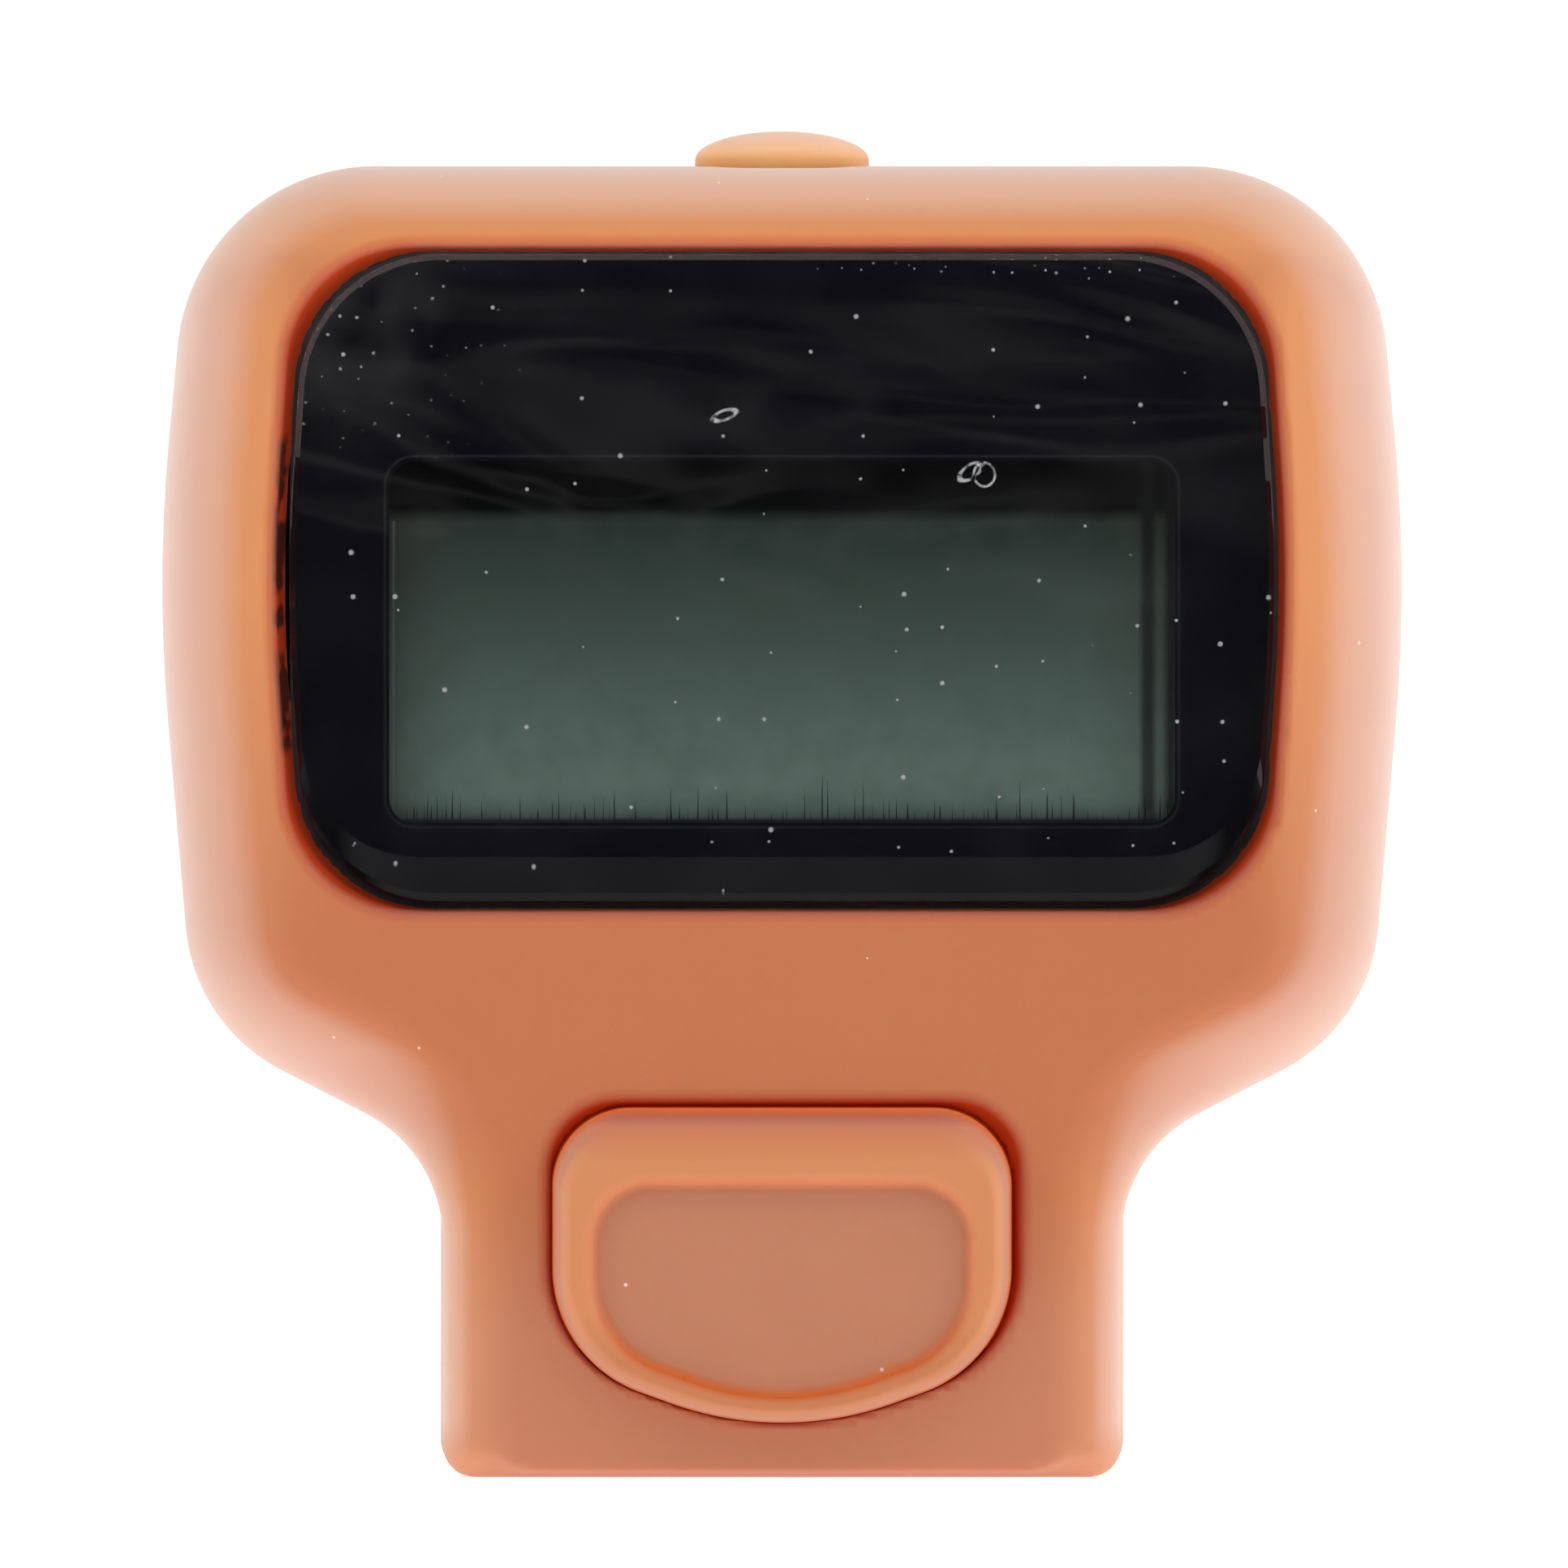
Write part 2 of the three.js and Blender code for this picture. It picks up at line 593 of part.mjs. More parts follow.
function frontFrame() {
  let shell = cut(
    solid(slab(caseCorners, caseFront, partLine)),
    slab(caseInnerCorners, caseInside, partLine + THROUGH),
  );
  const bounds = solid(slab(inset(caseCorners, 2 * LAP), caseFront, partLine));
  shell = shell.add(fence().intersect(bounds));
  const boreFront = boardFront - SCREW_GRIP - SCREW_BORE_SPARE;
  for (const [x, z] of screwPlaces) {
    shell = shell.add(solid(rod(x, z, POST_RADIUS, caseInside - LAP, boardFront)));
    shell = cut(shell, rod(x, z, SCREW_RADIUS + SCREW_FIT, boreFront, partLine, BORE_STEPS));
  }
  const slotX = -lensHalf - PRY_SLOT_WIDTH;
  const slotZ = lensMiddle - PRY_SLOT_LENGTH / 2;
  return cut(
    shell,
    slab(inset(lensCorners, -LENS_FIT), -THROUGH, caseFront + LENS_SEAT),
    slab(inset(viewCorners, -VIEW_RELIEF), -THROUGH, caseInside + SEATED),
    slab(inset(keyCorners, -KEY_FIT), -THROUGH, caseInside + SEATED),
    box(slotX, -lensHalf, caseFront - THROUGH, caseInside + SEATED, slotZ, slotZ + PRY_SLOT_LENGTH),
    slab(nubOutline(NUB_FIT), nubFlangeTop, caseTop + THROUGH).rotateX(Math.PI / 2),
  );
}

// Part of a flat ring, from one angle to another about the depth axis.
function sector(inner, outer, middle, width, front, back) {
  const [from, to] = [middle - width / 2, middle + width / 2].map(THREE.MathUtils.degToRad);
  const shape = new THREE.Shape();
  shape.absarc(0, 0, outer, from, to, false);
  shape.absarc(0, 0, inner, to, from, true);
  const options = { depth: back - front, bevelEnabled: false, curveSegments: ARC_STEPS };
  return new THREE.ExtrudeGeometry(shape, options).rotateX(Math.PI / 2).translate(0, back, 0);
}

// The holder rings the cell and has a channel behind its step for the door's lugs.
function cellHolder() {
  const back = backPlateInside + 2 * LAP;
  return turned([
    [holderInner, holderFront],
    [holderOuter, holderFront],
    [holderOuter, back],
    [holderChannel, back],
    [holderChannel, holderStep],
    [holderInner, holderStep],
    [holderInner, holderFront],
  ]).translate(0, 0, cellMiddle);
}

function lugNotch(angle) {
  const reach = doorRadius + LUG_REACH + LUG_PLAY;
  const width = LUG_ANGLE + NOTCH_EXTRA_ANGLE;
  const notch = sector(doorRadius - LUG_REACH, reach, angle, width, recessFront, caseBack + THROUGH);
  return notch.translate(0, 0, cellMiddle);
}

function rearCover() {
  let shell = cut(
    solid(slab(caseCorners, partLine, caseBack)),
    slab(caseInnerCorners, partLine - THROUGH, backPlateInside),
  );
  shell = shell.add(solid(cellHolder()));
  for (const [x, z] of screwPlaces) {
    shell = shell.add(solid(rod(x, z, POST_RADIUS, boardBack, backPlateInside + 2 * LAP)));
  }
  const headRecess = SCREW_HEAD_RADIUS + SCREW_FIT;
  for (const [x, z] of screwPlaces) {
    shell = cut(
      shell,
      rod(x, z, SCREW_RADIUS + SCREW_FIT, boardBack - THROUGH, caseBack, BORE_STEPS),
      rod(x, z, headRecess, caseBack - SCREW_SINK, caseBack + THROUGH, SMALL_STEPS),
    );
  }
  const contactHalf = CONTACT_WIDTH / 2 + 2 * CONTACT_SHEET;
  const contactBack = holderStep - CONTACT_NOTCH_DEPTH;
  return cut(
    shell,
    rod(0, cellMiddle, doorRadius + DOOR_FIT, recessFront, caseBack + THROUGH),
    lugNotch(-DOOR_TURN),
    lugNotch(180 - DOOR_TURN),
    box(
      0, holderOuter + THROUGH, holderFront - THROUGH, contactBack,
      cellMiddle - contactHalf, cellMiddle + contactHalf,
    ),
  );
}

function batteryDoor() {
  const disc = turned([[0, doorInside], [doorRadius, doorInside], [doorRadius, caseBack], [0, caseBack]]);
  const skirt = turned(ringProfile(doorRadius - DOOR_SKIRT, doorRadius, lugFront, doorInside + LAP));
  const lugs = [0, 180].map((angle) =>
    sector(doorRadius - DOOR_SKIRT / 2, doorRadius + LUG_REACH, angle, LUG_ANGLE, lugFront, lugBack));
  const [half, width] = [COIN_SLOT_LENGTH / 2, COIN_SLOT_WIDTH / 2];
  const coinSlot = rectangle(-half, half, -width, width, width);
  return cut(join(disc, skirt, ...lugs), slab(coinSlot, caseBack - COIN_SLOT_DEPTH, caseBack + THROUGH));
}

function caseScrew() {
  const seat = caseBack - SCREW_SINK;
  const top = seat + SCREW_HEAD_HEIGHT;
  const tip = boardFront - SCREW_GRIP;
  const head = SCREW_HEAD_RADIUS;
  const blank = turned([
    [0, tip - SCREW_RADIUS * SCREW_TIP_SHARE],
    [SCREW_RADIUS, tip],
    [SCREW_RADIUS, seat],
    [head, seat],
    [head, (seat + top) / 2],
    [head * SCREW_HEAD_TOP_SHARE, top],
    [0, top],
  ], BORE_STEPS);
  const { length, width, depth } = CROSS_SLOT;
  return cut(
    solid(blank),
    box(-length / 2, length / 2, top - depth, top + THROUGH, -width / 2, width / 2),
    box(-width / 2, width / 2, top - depth, top + THROUGH, -length / 2, length / 2),
  );
}

// The key is a shell with a raised rim round a sunken field, a retaining flange and a stem.
function countButton() {
  const sections = [];
  for (let k = 0; k <= SHOULDER_STEPS; k++) {
    const angle = (k / SHOULDER_STEPS) * (Math.PI / 2);
    const corners = inset(keyCorners, keyWalls(scaled(KEY_ROUNDING, 1 - Math.sin(angle))));
    sections.push({ points: outline(corners), depth: -KEY_PROUD * Math.cos(angle) });
  }
  const back = caseInside + KEY_FLANGE_THICKNESS;
  sections.push({ points: outline(keyCorners), depth: back });
  const half = KEY_WIDTH / 2 + KEY_FLANGE;
  const [flangeLow, flangeHigh] = [keyBottom + KEY_LOWER_CORNER, keyTop + KEY_FLANGE];
  const flange = rectangle(-half, half, flangeLow, flangeHigh, KEY_TOP_CORNER);
  const hollow = cut(
    join(loft(sections), slab(flange, caseInside, back)),
    slab(inset(keyCorners, KEY_SHELL), keyFieldFront + KEY_SHELL, back + THROUGH),
    slab(inset(keyCorners, keyWalls(KEY_RIM)), -KEY_PROUD - THROUGH, keyFieldFront),
  );
  const stemFront = keyFieldFront + KEY_SHELL / 2;
  return hollow.add(solid(rod(0, keyMiddle, KEY_STEM_RADIUS, stemFront, keyPlungerFront - SEATED)));
}

// The nub stands in its own frame: depth is height there, and it is turned upright in the scene.
function resetButton() {
  const wallTop = headTop + NUB_PROUD * NUB_WALL_SHARE;
  const domeHeight = NUB_PROUD * (1 - NUB_WALL_SHARE);
  const centre = new THREE.Vector2(0, -nubDepth);
  const wall = outline(nubOutline(0));
  const sections = [{ points: wall, depth: nubFlangeBottom }];
  for (let k = 0; k <= SHOULDER_STEPS; k++) {
    const angle = (k / SHOULDER_STEPS) * (Math.PI / 2);
    const share = NUB_CROWN_SHARE + (1 - NUB_CROWN_SHARE) * Math.cos(angle);
    const points = wall.map((point) => centre.clone().lerp(point, share));
    sections.push({ points, depth: wallTop + domeHeight * Math.sin(angle) });
  }
  const flange = slab(nubOutline(NUB_FLANGE), nubFlangeBottom, nubFlangeTop);
  return join(loft(sections), flange);
}

function circuitBoard() {
  const half = NUB_WIDTH / 2 + NUB_FLANGE + FLANGE_ROOM;
  const bottom = nubFlangeBottom - RESET_TRAVEL - FLANGE_ROOM;
  const [front, back] = [boardFront - THROUGH, boardBack + THROUGH];
  const board = solid(slab(boardCorners, boardFront, boardBack));
  const holes = screwPlaces.map(([x, z]) => rod(x, z, SCREW_RADIUS + SCREW_FIT, front, back, BORE_STEPS));
  return cut(board, box(-half, half, front, back, bottom, headTop), ...holes);
}

// Push switch about the depth axis: the lid of its body holds a collared plunger.
function switchBody({ width, breadth, height, plunger, collar }) {
  const corners = rectangle(-width / 2, width / 2, -breadth / 2, breadth / 2, SWITCH_CORNER);
  const back = height - SWITCH_FLOOR;
  return cut(
    solid(slab(corners, 0, height, 3)),
    rod(0, 0, plunger + PLUNGER_FIT, -THROUGH, back, SMALL_STEPS),
    rod(0, 0, plunger + collar + PLUNGER_FIT, SWITCH_LID, back, SMALL_STEPS),
  );
}

function switchPlunger({ plunger, collar, proud }) {
  const shoulder = SWITCH_LID + SEATED;
  const outer = plunger + collar;
  const back = shoulder + COLLAR_HEIGHT;
  return solid(turned([
    [0, -proud],
    [plunger, -proud],
    [plunger, shoulder],
    [outer, shoulder],
    [outer, back],
    [0, back],
  ], SMALL_STEPS));
}

function chipBlob() {
  const profile = [[0, -BLOB_HEIGHT]];
  for (let k = 1; k <= SHOULDER_STEPS; k++) {
    const angle = (k / SHOULDER_STEPS) * (Math.PI / 2);
    profile.push([BLOB_RADIUS * Math.sin(angle), -BLOB_HEIGHT * Math.cos(angle)]);
  }
  return solid(turned([...profile, [0, 0]], SMALL_STEPS));
}

// A chip part lies along x, with an end cap standing a little proud at each end.
function chipPart({ length, width, height }) {
  const [end, half] = [length / 2, width / 2];
  const cap = length * CHIP_END_SHARE;
  const side = half - CHIP_END_PROUD;
  const lap = cap / 2;
  return join(
    box(lap - end, end - lap, 0, height - CHIP_END_PROUD, -side, side),
    box(-end, cap - end, 0, height, -half, half),
    box(end - cap, end, 0, height, -half, half),
  );
}

function clockCrystal() {
  const neck = CRYSTAL_RADIUS * CRYSTAL_NECK_SHARE;
  return solid(turned([
    [0, 0],
    [neck, 0],
    [neck, CRYSTAL_BASE],
    [CRYSTAL_RADIUS, CRYSTAL_BASE],
    [CRYSTAL_RADIUS, CRYSTAL_LENGTH - CRYSTAL_NOSE],
    [neck, CRYSTAL_LENGTH],
    [0, CRYSTAL_LENGTH],
  ], SMALL_STEPS));
}

// Button cell: can with its base to the door, gasket, and cap towards the board
const cellRim = cellFront + CELL_CAP_STEP;
const canInner = CELL_RADIUS - CELL_CAN_WALL;
const canFloor = cellBack - CELL_CAN_WALL;

function cellCan() {
  const mouth = canInner - CELL_CRIMP;
  return solid(turned([
    [mouth, cellRim],
    [CELL_RADIUS - CELL_EDGE, cellRim],
    [CELL_RADIUS, cellRim + CELL_EDGE],
    [CELL_RADIUS, cellBack - CELL_EDGE],
    [CELL_RADIUS - CELL_EDGE, cellBack],
    [0, cellBack],
    [0, canFloor],
    [canInner, canFloor],
    [canInner, cellRim + 2 * CELL_LIP],
    [mouth, cellRim + CELL_LIP],
    [mouth, cellRim],
  ]));
}

function cellGasket() {
  const outer = canInner - SEATED;
  const lip = outer - CELL_CRIMP;
  const inner = outer - CELL_GASKET;
  const back = canFloor - SEATED;
  return solid(turned([
    [inner, cellRim - SEATED],
    [lip, cellRim - SEATED],
    [lip, cellRim + CELL_LIP + SEATED],
    [outer, cellRim + 2 * (CELL_LIP + SEATED)],
    [outer, back],
    [inner, back],
    [inner, cellRim - SEATED],
  ]));
}

function cellCap() {
  const outer = canInner - CELL_GASKET - 2 * SEATED;
  const top = outer - CELL_CAP_EDGE;
  const back = canFloor - SEATED;
  return solid(turned([
    [0, cellFront],
    [top, cellFront],
    [top + CELL_LIP, cellFront + CELL_LIP],
    [top + CELL_LIP + SEATED, cellRim - SEATED],
    [outer, cellRim],
    [outer, back],
    [0, back],
  ]));
}

// Sheet contacts are bent strips: a centreline in plan, thickened and extruded across the strip.
function stripEdge(path, side) {
  const offset = (side * CONTACT_SHEET) / 2;
  return path.map(([x, depth], i) => {
    const [ax, ay] = path[Math.max(i - 1, 0)];
    const [bx, by] = path[Math.min(i + 1, path.length - 1)];
    const length = Math.hypot(bx - ax, by - ay);
    return new THREE.Vector2(x + (offset * (by - ay)) / length, (offset * (bx - ax)) / length - depth);
  });
}

function bentStrip(path) {
  const points = [...stripEdge(path, 1), ...stripEdge(path, -1).reverse()];
  if (THREE.ShapeUtils.isClockWise(points)) points.reverse();
  const half = CONTACT_WIDTH / 2;
  const strip = loft([{ points, depth: -half }, { points, depth: half }]);
  return solid(strip.rotateX(Math.PI / 2));
}

const contactFoot = boardBack + CONTACT_SHEET / 2;

// The positive contact stands on the board and bears on the can's side.
function positiveContact() {
  const wall = CELL_RADIUS + CONTACT_SHEET / 2 + SEATED;
  return bentStrip([
    [wall + CONTACT_FOOT, contactFoot],
    [wall + CONTACT_BEND, contactFoot],
    [wall + CONTACT_BEND / 3, contactFoot + CONTACT_SHEET],
    [wall + 2 * SEATED, contactFoot + 3 * CONTACT_SHEET],
    [wall, (cellFront + cellBack) / 2],
    [wall + CONTACT_SHEET, cellBack - CONTACT_TIP],
  ]);
}

// The negative contact is a leaf spring, crowned to bear on the cap.
function negativeContact() {
  const crown = cellFront - CONTACT_SHEET / 2 - SEATED;
  const slope = (contactFoot + crown) / 2;
  return bentStrip([
    [-holderOuter - CONTACT_SHEET, contactFoot],
    [SPRING_HEEL - CELL_RADIUS, contactFoot],
    [-SPRING_CROWN - SPRING_SLOPE, slope],
    [-SPRING_CROWN, crown],
    [SPRING_CROWN, crown],
    [SPRING_CROWN + SPRING_SLOPE, slope],
  ]);
}

const materials = {
  silicone: new THREE.MeshStandardMaterial({ color: '#df9a70', roughness: 0.62 }),
  key: new THREE.MeshStandardMaterial({ color: '#d98f66', roughness: 0.55 }),
  blackCase: new THREE.MeshStandardMaterial({ color: '#1b1a1c', roughness: 0.5 }),
  lens: new THREE.MeshStandardMaterial({
    color: '#cfd6d4', roughness: 0.05, transparent: true, opacity: 0.35,
  }),
  mask: new THREE.MeshStandardMaterial({ color: '#08090b', roughness: 0.35 }),
  polariser: new THREE.MeshStandardMaterial({ color: '#4f6058', roughness: 0.3 }),
  glass: new THREE.MeshStandardMaterial({ color: '#9fb0a6', roughness: 0.1 }),
  reflector: new THREE.MeshStandardMaterial({ color: '#8d958c', roughness: 0.4, metalness: 0.4 }),
  elastomer: new THREE.MeshStandardMaterial({ color: '#c9c4bb', roughness: 0.7 }),
  board: new THREE.MeshStandardMaterial({ color: '#2e6b3a', roughness: 0.5 }),
  epoxy: new THREE.MeshStandardMaterial({ color: '#101010', roughness: 0.35 }),
  nickel: new THREE.MeshStandardMaterial({ color: '#c3c4c2', roughness: 0.25, metalness: 1 }),
  ceramicChip: new THREE.MeshStandardMaterial({ color: '#9a8468', roughness: 0.5 }),
  switchPlastic: new THREE.MeshStandardMaterial({ color: '#232325', roughness: 0.5 }),
  nylon: new THREE.MeshStandardMaterial({ color: '#d8dbdc', roughness: 0.5 }),
  steel: new THREE.MeshStandardMaterial({ color: '#b4b5b6', roughness: 0.3, metalness: 1 }),
};

function piece(name, manifold, material) {
  const mesh = new THREE.Mesh(toCreasedNormals(geometryOf(manifold), CREASE), materials[material]);
  mesh.name = name;
  return mesh;
}

function placed(mesh, x, depth, z) {
  mesh.position.set(x, depth, z);
  return mesh;
}

// Upright pieces are drawn along the depth axis and stood up.
function upright(mesh, x = 0, depth = 0, z = 0) {
  mesh.rotation.x = Math.PI / 2;
  return placed(mesh, x, depth, z);
}

function polariser(front) {
  return solid(slab(polariserCorners, front, front + POLARISER));
}

const shells = new THREE.Group();
shells.add(
  piece('silicone_sleeve', siliconeSleeve(), 'silicone'),
  piece('front_frame', frontFrame(), 'blackCase'),
  piece('rear_cover', rearCover(), 'blackCase'),
);

const display = new THREE.Group();
display.add(
  piece('display_lens', displayLens(), 'lens'),
  piece('lens_mask', lensMask(), 'mask'),
  piece('front_polariser', polariser(caseInside), 'polariser'),
  piece('lcd_front_glass', solid(slab(frontGlassCorners, frontGlassFront, rearGlassFront)), 'glass'),
  piece('lcd_rear_glass', solid(slab(rearGlassCorners, rearGlassFront, rearPolariserFront)), 'glass'),
  piece('rear_polariser', polariser(rearPolariserFront), 'reflector'),
);

function zebraStrip() {
  const [half, side] = [ZEBRA_LENGTH / 2, ZEBRA_WIDTH / 2];
  return solid(box(-half, half, rearGlassFront, boardFront, -side, side));
}

const ledgeMiddle = (glassBottom + rearGlassBottom) / 2;
const blobZ = lensMiddle - BLOB_BELOW_MIDDLE;
const chipZ = keyTop + CHIP_ABOVE_KEY;
const crystalX = -NUB_WIDTH / 2 - NUB_FLANGE - 2 * CRYSTAL_GAP;
const crystalZ = cellMiddle + holderOuter + CRYSTAL_GAP + CRYSTAL_RADIUS;
const crystal = piece('clock_crystal', clockCrystal(), 'nickel');
crystal.rotation.z = Math.PI / 2;

function capacitor(name, x) {
  return placed(piece(name, chipPart(CHIP_CAPACITOR), 'ceramicChip'), x, boardBack, chipZ);
}

const electronics = new THREE.Group();
electronics.add(
  piece('circuit_board', circuitBoard(), 'board'),
  placed(piece('zebra_strip', zebraStrip(), 'elastomer'), 0, 0, ledgeMiddle),
  placed(piece('chip_blob', chipBlob(), 'epoxy'), -BLOB_LEFT, boardFront, blobZ),
  capacitor('capacitor_left', -CHIP_SPACING),
  placed(piece('pull_up_resistor', chipPart(CHIP_RESISTOR), 'epoxy'), 0, boardBack, chipZ),
  capacitor('capacitor_right', CHIP_SPACING),
  placed(crystal, crystalX, boardBack + CRYSTAL_RADIUS, crystalZ),
);

const controls = new THREE.Group();
controls.add(
  piece('count_button', countButton(), 'key'),
  upright(piece('reset_button', resetButton(), 'key')),
);
const countSwitch = new THREE.Group();
countSwitch.position.set(0, keySwitchFront, keyMiddle);
countSwitch.add(
  piece('count_switch_body', switchBody(COUNT_SWITCH), 'switchPlastic'),
  piece('count_switch_plunger', switchPlunger(COUNT_SWITCH), 'nylon'),
);
const resetSwitch = new THREE.Group();
resetSwitch.rotation.x = -Math.PI / 2;
resetSwitch.position.set(0, resetSwitchDepth, resetSwitchTop);
resetSwitch.add(
  piece('reset_switch_body', switchBody(RESET_SWITCH), 'switchPlastic'),
  piece('reset_switch_plunger', switchPlunger(RESET_SWITCH), 'nylon'),
);
controls.add(countSwitch, resetSwitch);

const power = new THREE.Group();
power.position.z = cellMiddle;
power.add(
  piece('cell_can', cellCan(), 'nickel'),
  piece('cell_gasket', cellGasket(), 'nylon'),
  piece('cell_cap', cellCap(), 'nickel'),
  piece('battery_positive_contact', positiveContact(), 'steel'),
  piece('battery_negative_contact', negativeContact(), 'steel'),
  piece('battery_door', batteryDoor(), 'blackCase'),
);

const screws = new THREE.Group();
screwPlaces.forEach(([x, z], i) => {
  screws.add(placed(piece(`case_screw_${i + 1}`, caseScrew(), 'steel'), x, 0, z));
});

// The part's origin is under the middle of its overall size.
const counter = new THREE.Group();
counter.position.y = -(ringBack - KEY_PROUD) / 2;
counter.add(shells, display, electronics, controls, power, screws);

export default counter;
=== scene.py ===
# A digital finger tally counter, dressed for the photograph: a soft salmon sleeve with a finger ring round
# a small black counter. Sizes in the sections are millimetres, and every mesh is made in metres in the
# frame of the part.
import math
import bmesh
import bpy
import numpy as np
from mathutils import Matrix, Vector


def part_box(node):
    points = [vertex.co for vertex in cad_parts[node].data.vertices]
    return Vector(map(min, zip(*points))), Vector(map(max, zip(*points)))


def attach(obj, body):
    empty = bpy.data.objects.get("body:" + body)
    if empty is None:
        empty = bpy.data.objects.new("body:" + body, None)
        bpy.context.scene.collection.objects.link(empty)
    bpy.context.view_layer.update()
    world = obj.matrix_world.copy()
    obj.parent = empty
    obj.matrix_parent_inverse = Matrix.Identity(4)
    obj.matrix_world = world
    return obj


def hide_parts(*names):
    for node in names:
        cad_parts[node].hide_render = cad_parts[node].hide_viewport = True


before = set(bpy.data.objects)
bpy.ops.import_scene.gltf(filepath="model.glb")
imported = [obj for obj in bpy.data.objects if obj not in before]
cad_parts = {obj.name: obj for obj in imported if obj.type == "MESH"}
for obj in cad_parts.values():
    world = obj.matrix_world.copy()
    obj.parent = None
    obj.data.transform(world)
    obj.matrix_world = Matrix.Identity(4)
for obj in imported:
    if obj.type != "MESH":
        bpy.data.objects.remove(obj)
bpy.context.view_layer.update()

# Camera, floor and light
# The camera looks square on at the face, level with the middle of the object, from far enough off that there
# is almost no perspective. Round it is an all-white light tent that is dark only near the camera, and the
# floor and backdrop are plain white.
MM = 0.001
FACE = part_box("silicone_sleeve")[0].y / MM
PICTURE_WIDTH = 44.28
CAMERA_DISTANCE = 1500
CAMERA_HEIGHT = 19.5
CAMERA_RIGHT = 0.057
WIDEST_DEPTH = 7

scene = bpy.context.scene
scene.view_settings.view_transform = "Standard"
camera = bpy.data.objects.new("camera", bpy.data.cameras.new("camera"))
camera.data.lens = camera.data.sensor_width * CAMERA_DISTANCE / PICTURE_WIDTH
camera.data.clip_start = 0.01
camera.location = Vector((CAMERA_RIGHT, FACE + WIDEST_DEPTH - CAMERA_DISTANCE, CAMERA_HEIGHT)) * MM
camera.rotation_euler = (math.pi / 2, 0, 0)
scene.collection.objects.link(camera)
scene.camera = camera


class Wire:
    """A shader socket that can stand in a sum, with numbers and other wires on either side."""

    def __init__(self, finish, socket):
        self.finish, self.socket = finish, socket

    def _sum(self, operation, *values):
        return self.finish.node("Math", {"operation": operation}, dict(enumerate(values)))

    def __add__(self, other): return self._sum("ADD", self, other)
    def __radd__(self, other): return self._sum("ADD", other, self)
    def __sub__(self, other): return self._sum("SUBTRACT", self, other)
    def __rsub__(self, other): return self._sum("SUBTRACT", other, self)
    def __mul__(self, other): return self._sum("MULTIPLY", self, other)
    def __rmul__(self, other): return self._sum("MULTIPLY", other, self)
    def __truediv__(self, other): return self._sum("DIVIDE", self, other)
    def __pow__(self, other): return self._sum("POWER", self, other)
    def __gt__(self, other): return self._sum("GREATER_THAN", self, other)
    def __lt__(self, other): return self._sum("LESS_THAN", self, other)
    def __abs__(self): return self._sum("ABSOLUTE", self)


class Finish:
    """A material while its nodes are laid out. Lengths in it are millimetres on the object."""

    def __init__(self, name):
        self.material = bpy.data.materials.new(name)
        self.material.use_nodes = True
        self.tree = self.material.node_tree
        self.tree.nodes.clear()
        self.place = self.node("VectorMath", {"operation": "SCALE"},
                               {0: self.node("TexCoord", out="Object"), "Scale": 1 / MM})

    def node(self, kind, settings=(), sockets=(), out=0):
        made = self.tree.nodes.new("ShaderNode" + kind)
        for name, value in dict(settings).items():
            if name == "stops":
                for position, colour in value[2:]:
                    made.color_ramp.elements.new(position)
                for element, (position, colour) in zip(made.color_ramp.elements, sorted(value)):
                    element.position, element.color = position, colour
            else:
                setattr(made, name, value)
        for name, value in dict(sockets).items():
            if isinstance(value, Wire):
                self.tree.links.new(value.socket, made.inputs[name])
            else:
                made.inputs[name].default_value = value
        return Wire(self, made.outputs[out])

    def along(self, axis):
        return self.node("SeparateXYZ", {}, {0: self.place}, out=axis)

    def noise(self, size, detail=2, stretch=(1, 1, 1), seed=0.0, distortion=0.0):
        at = self.node("Mapping", {}, {"Vector": self.place, "Location": (seed, seed * 1.7, seed * 0.6),
                                       "Scale": stretch})
        return self.node("TexNoise", {}, {"Vector": at, "Scale": 1 / size, "Detail": detail,
                                          "Distortion": distortion}, out="Fac")

    def specks(self, spacing, radius, seed=0.0, share=1.0, flat=False):
        """Round specks of dust on a share of the cells, through the solid or over an upright plane."""
        at = self.node("Mapping", {}, {"Vector": self.place, "Location": (seed, seed * 1.3, seed * 0.7),
                                       "Rotation": (math.pi / 2 if flat else 0, 0, 0)})
        kind = {"voronoi_dimensions": "2D" if flat else "3D"}
        cells = self.node("TexVoronoi", kind, {"Vector": at, "Scale": 1 / spacing}, out="Distance")
        tone = self.node("TexVoronoi", kind, {"Vector": at, "Scale": 1 / spacing}, out="Color")
        pick = self.node("SeparateColor", {}, {0: tone}, out="Red")
        size = self.node("SeparateColor", {}, {0: tone}, out="Green")
        inside = self.node("MapRange", {}, {"Value": cells * spacing / (size * 0.8 + 0.4),
                                            "From Min": radius, "From Max": radius * 0.5})
        return inside * (pick < share)

    def ramp(self, value, start, end, low=0.0, high=1.0):
        return self.node("MapRange", {}, {"Value": value, "From Min": start, "From Max": end,
                                          "To Min": low, "To Max": high})

    def mix(self, factor, first, second, blend="MIX"):
        return self.node("Mix", {"data_type": "RGBA", "blend_type": blend},
                         {"Factor": factor, 6: first, 7: second}, out=2)

    def bump(self, height, strength, depth):
        return self.node("Bump", {}, {"Height": height, "Strength": strength, "Distance": depth * MM},
                         out="Normal")

    def shade(self, **sockets):
        named = {name.replace("_", " "): value for name, value in sockets.items()}
        return self.node("BsdfPrincipled", {}, named, out="BSDF")

    def done(self, shader):
        end = self.tree.nodes.new("ShaderNodeOutputMaterial")
        self.tree.links.new(shader.socket, end.inputs["Surface"])
        return self.material


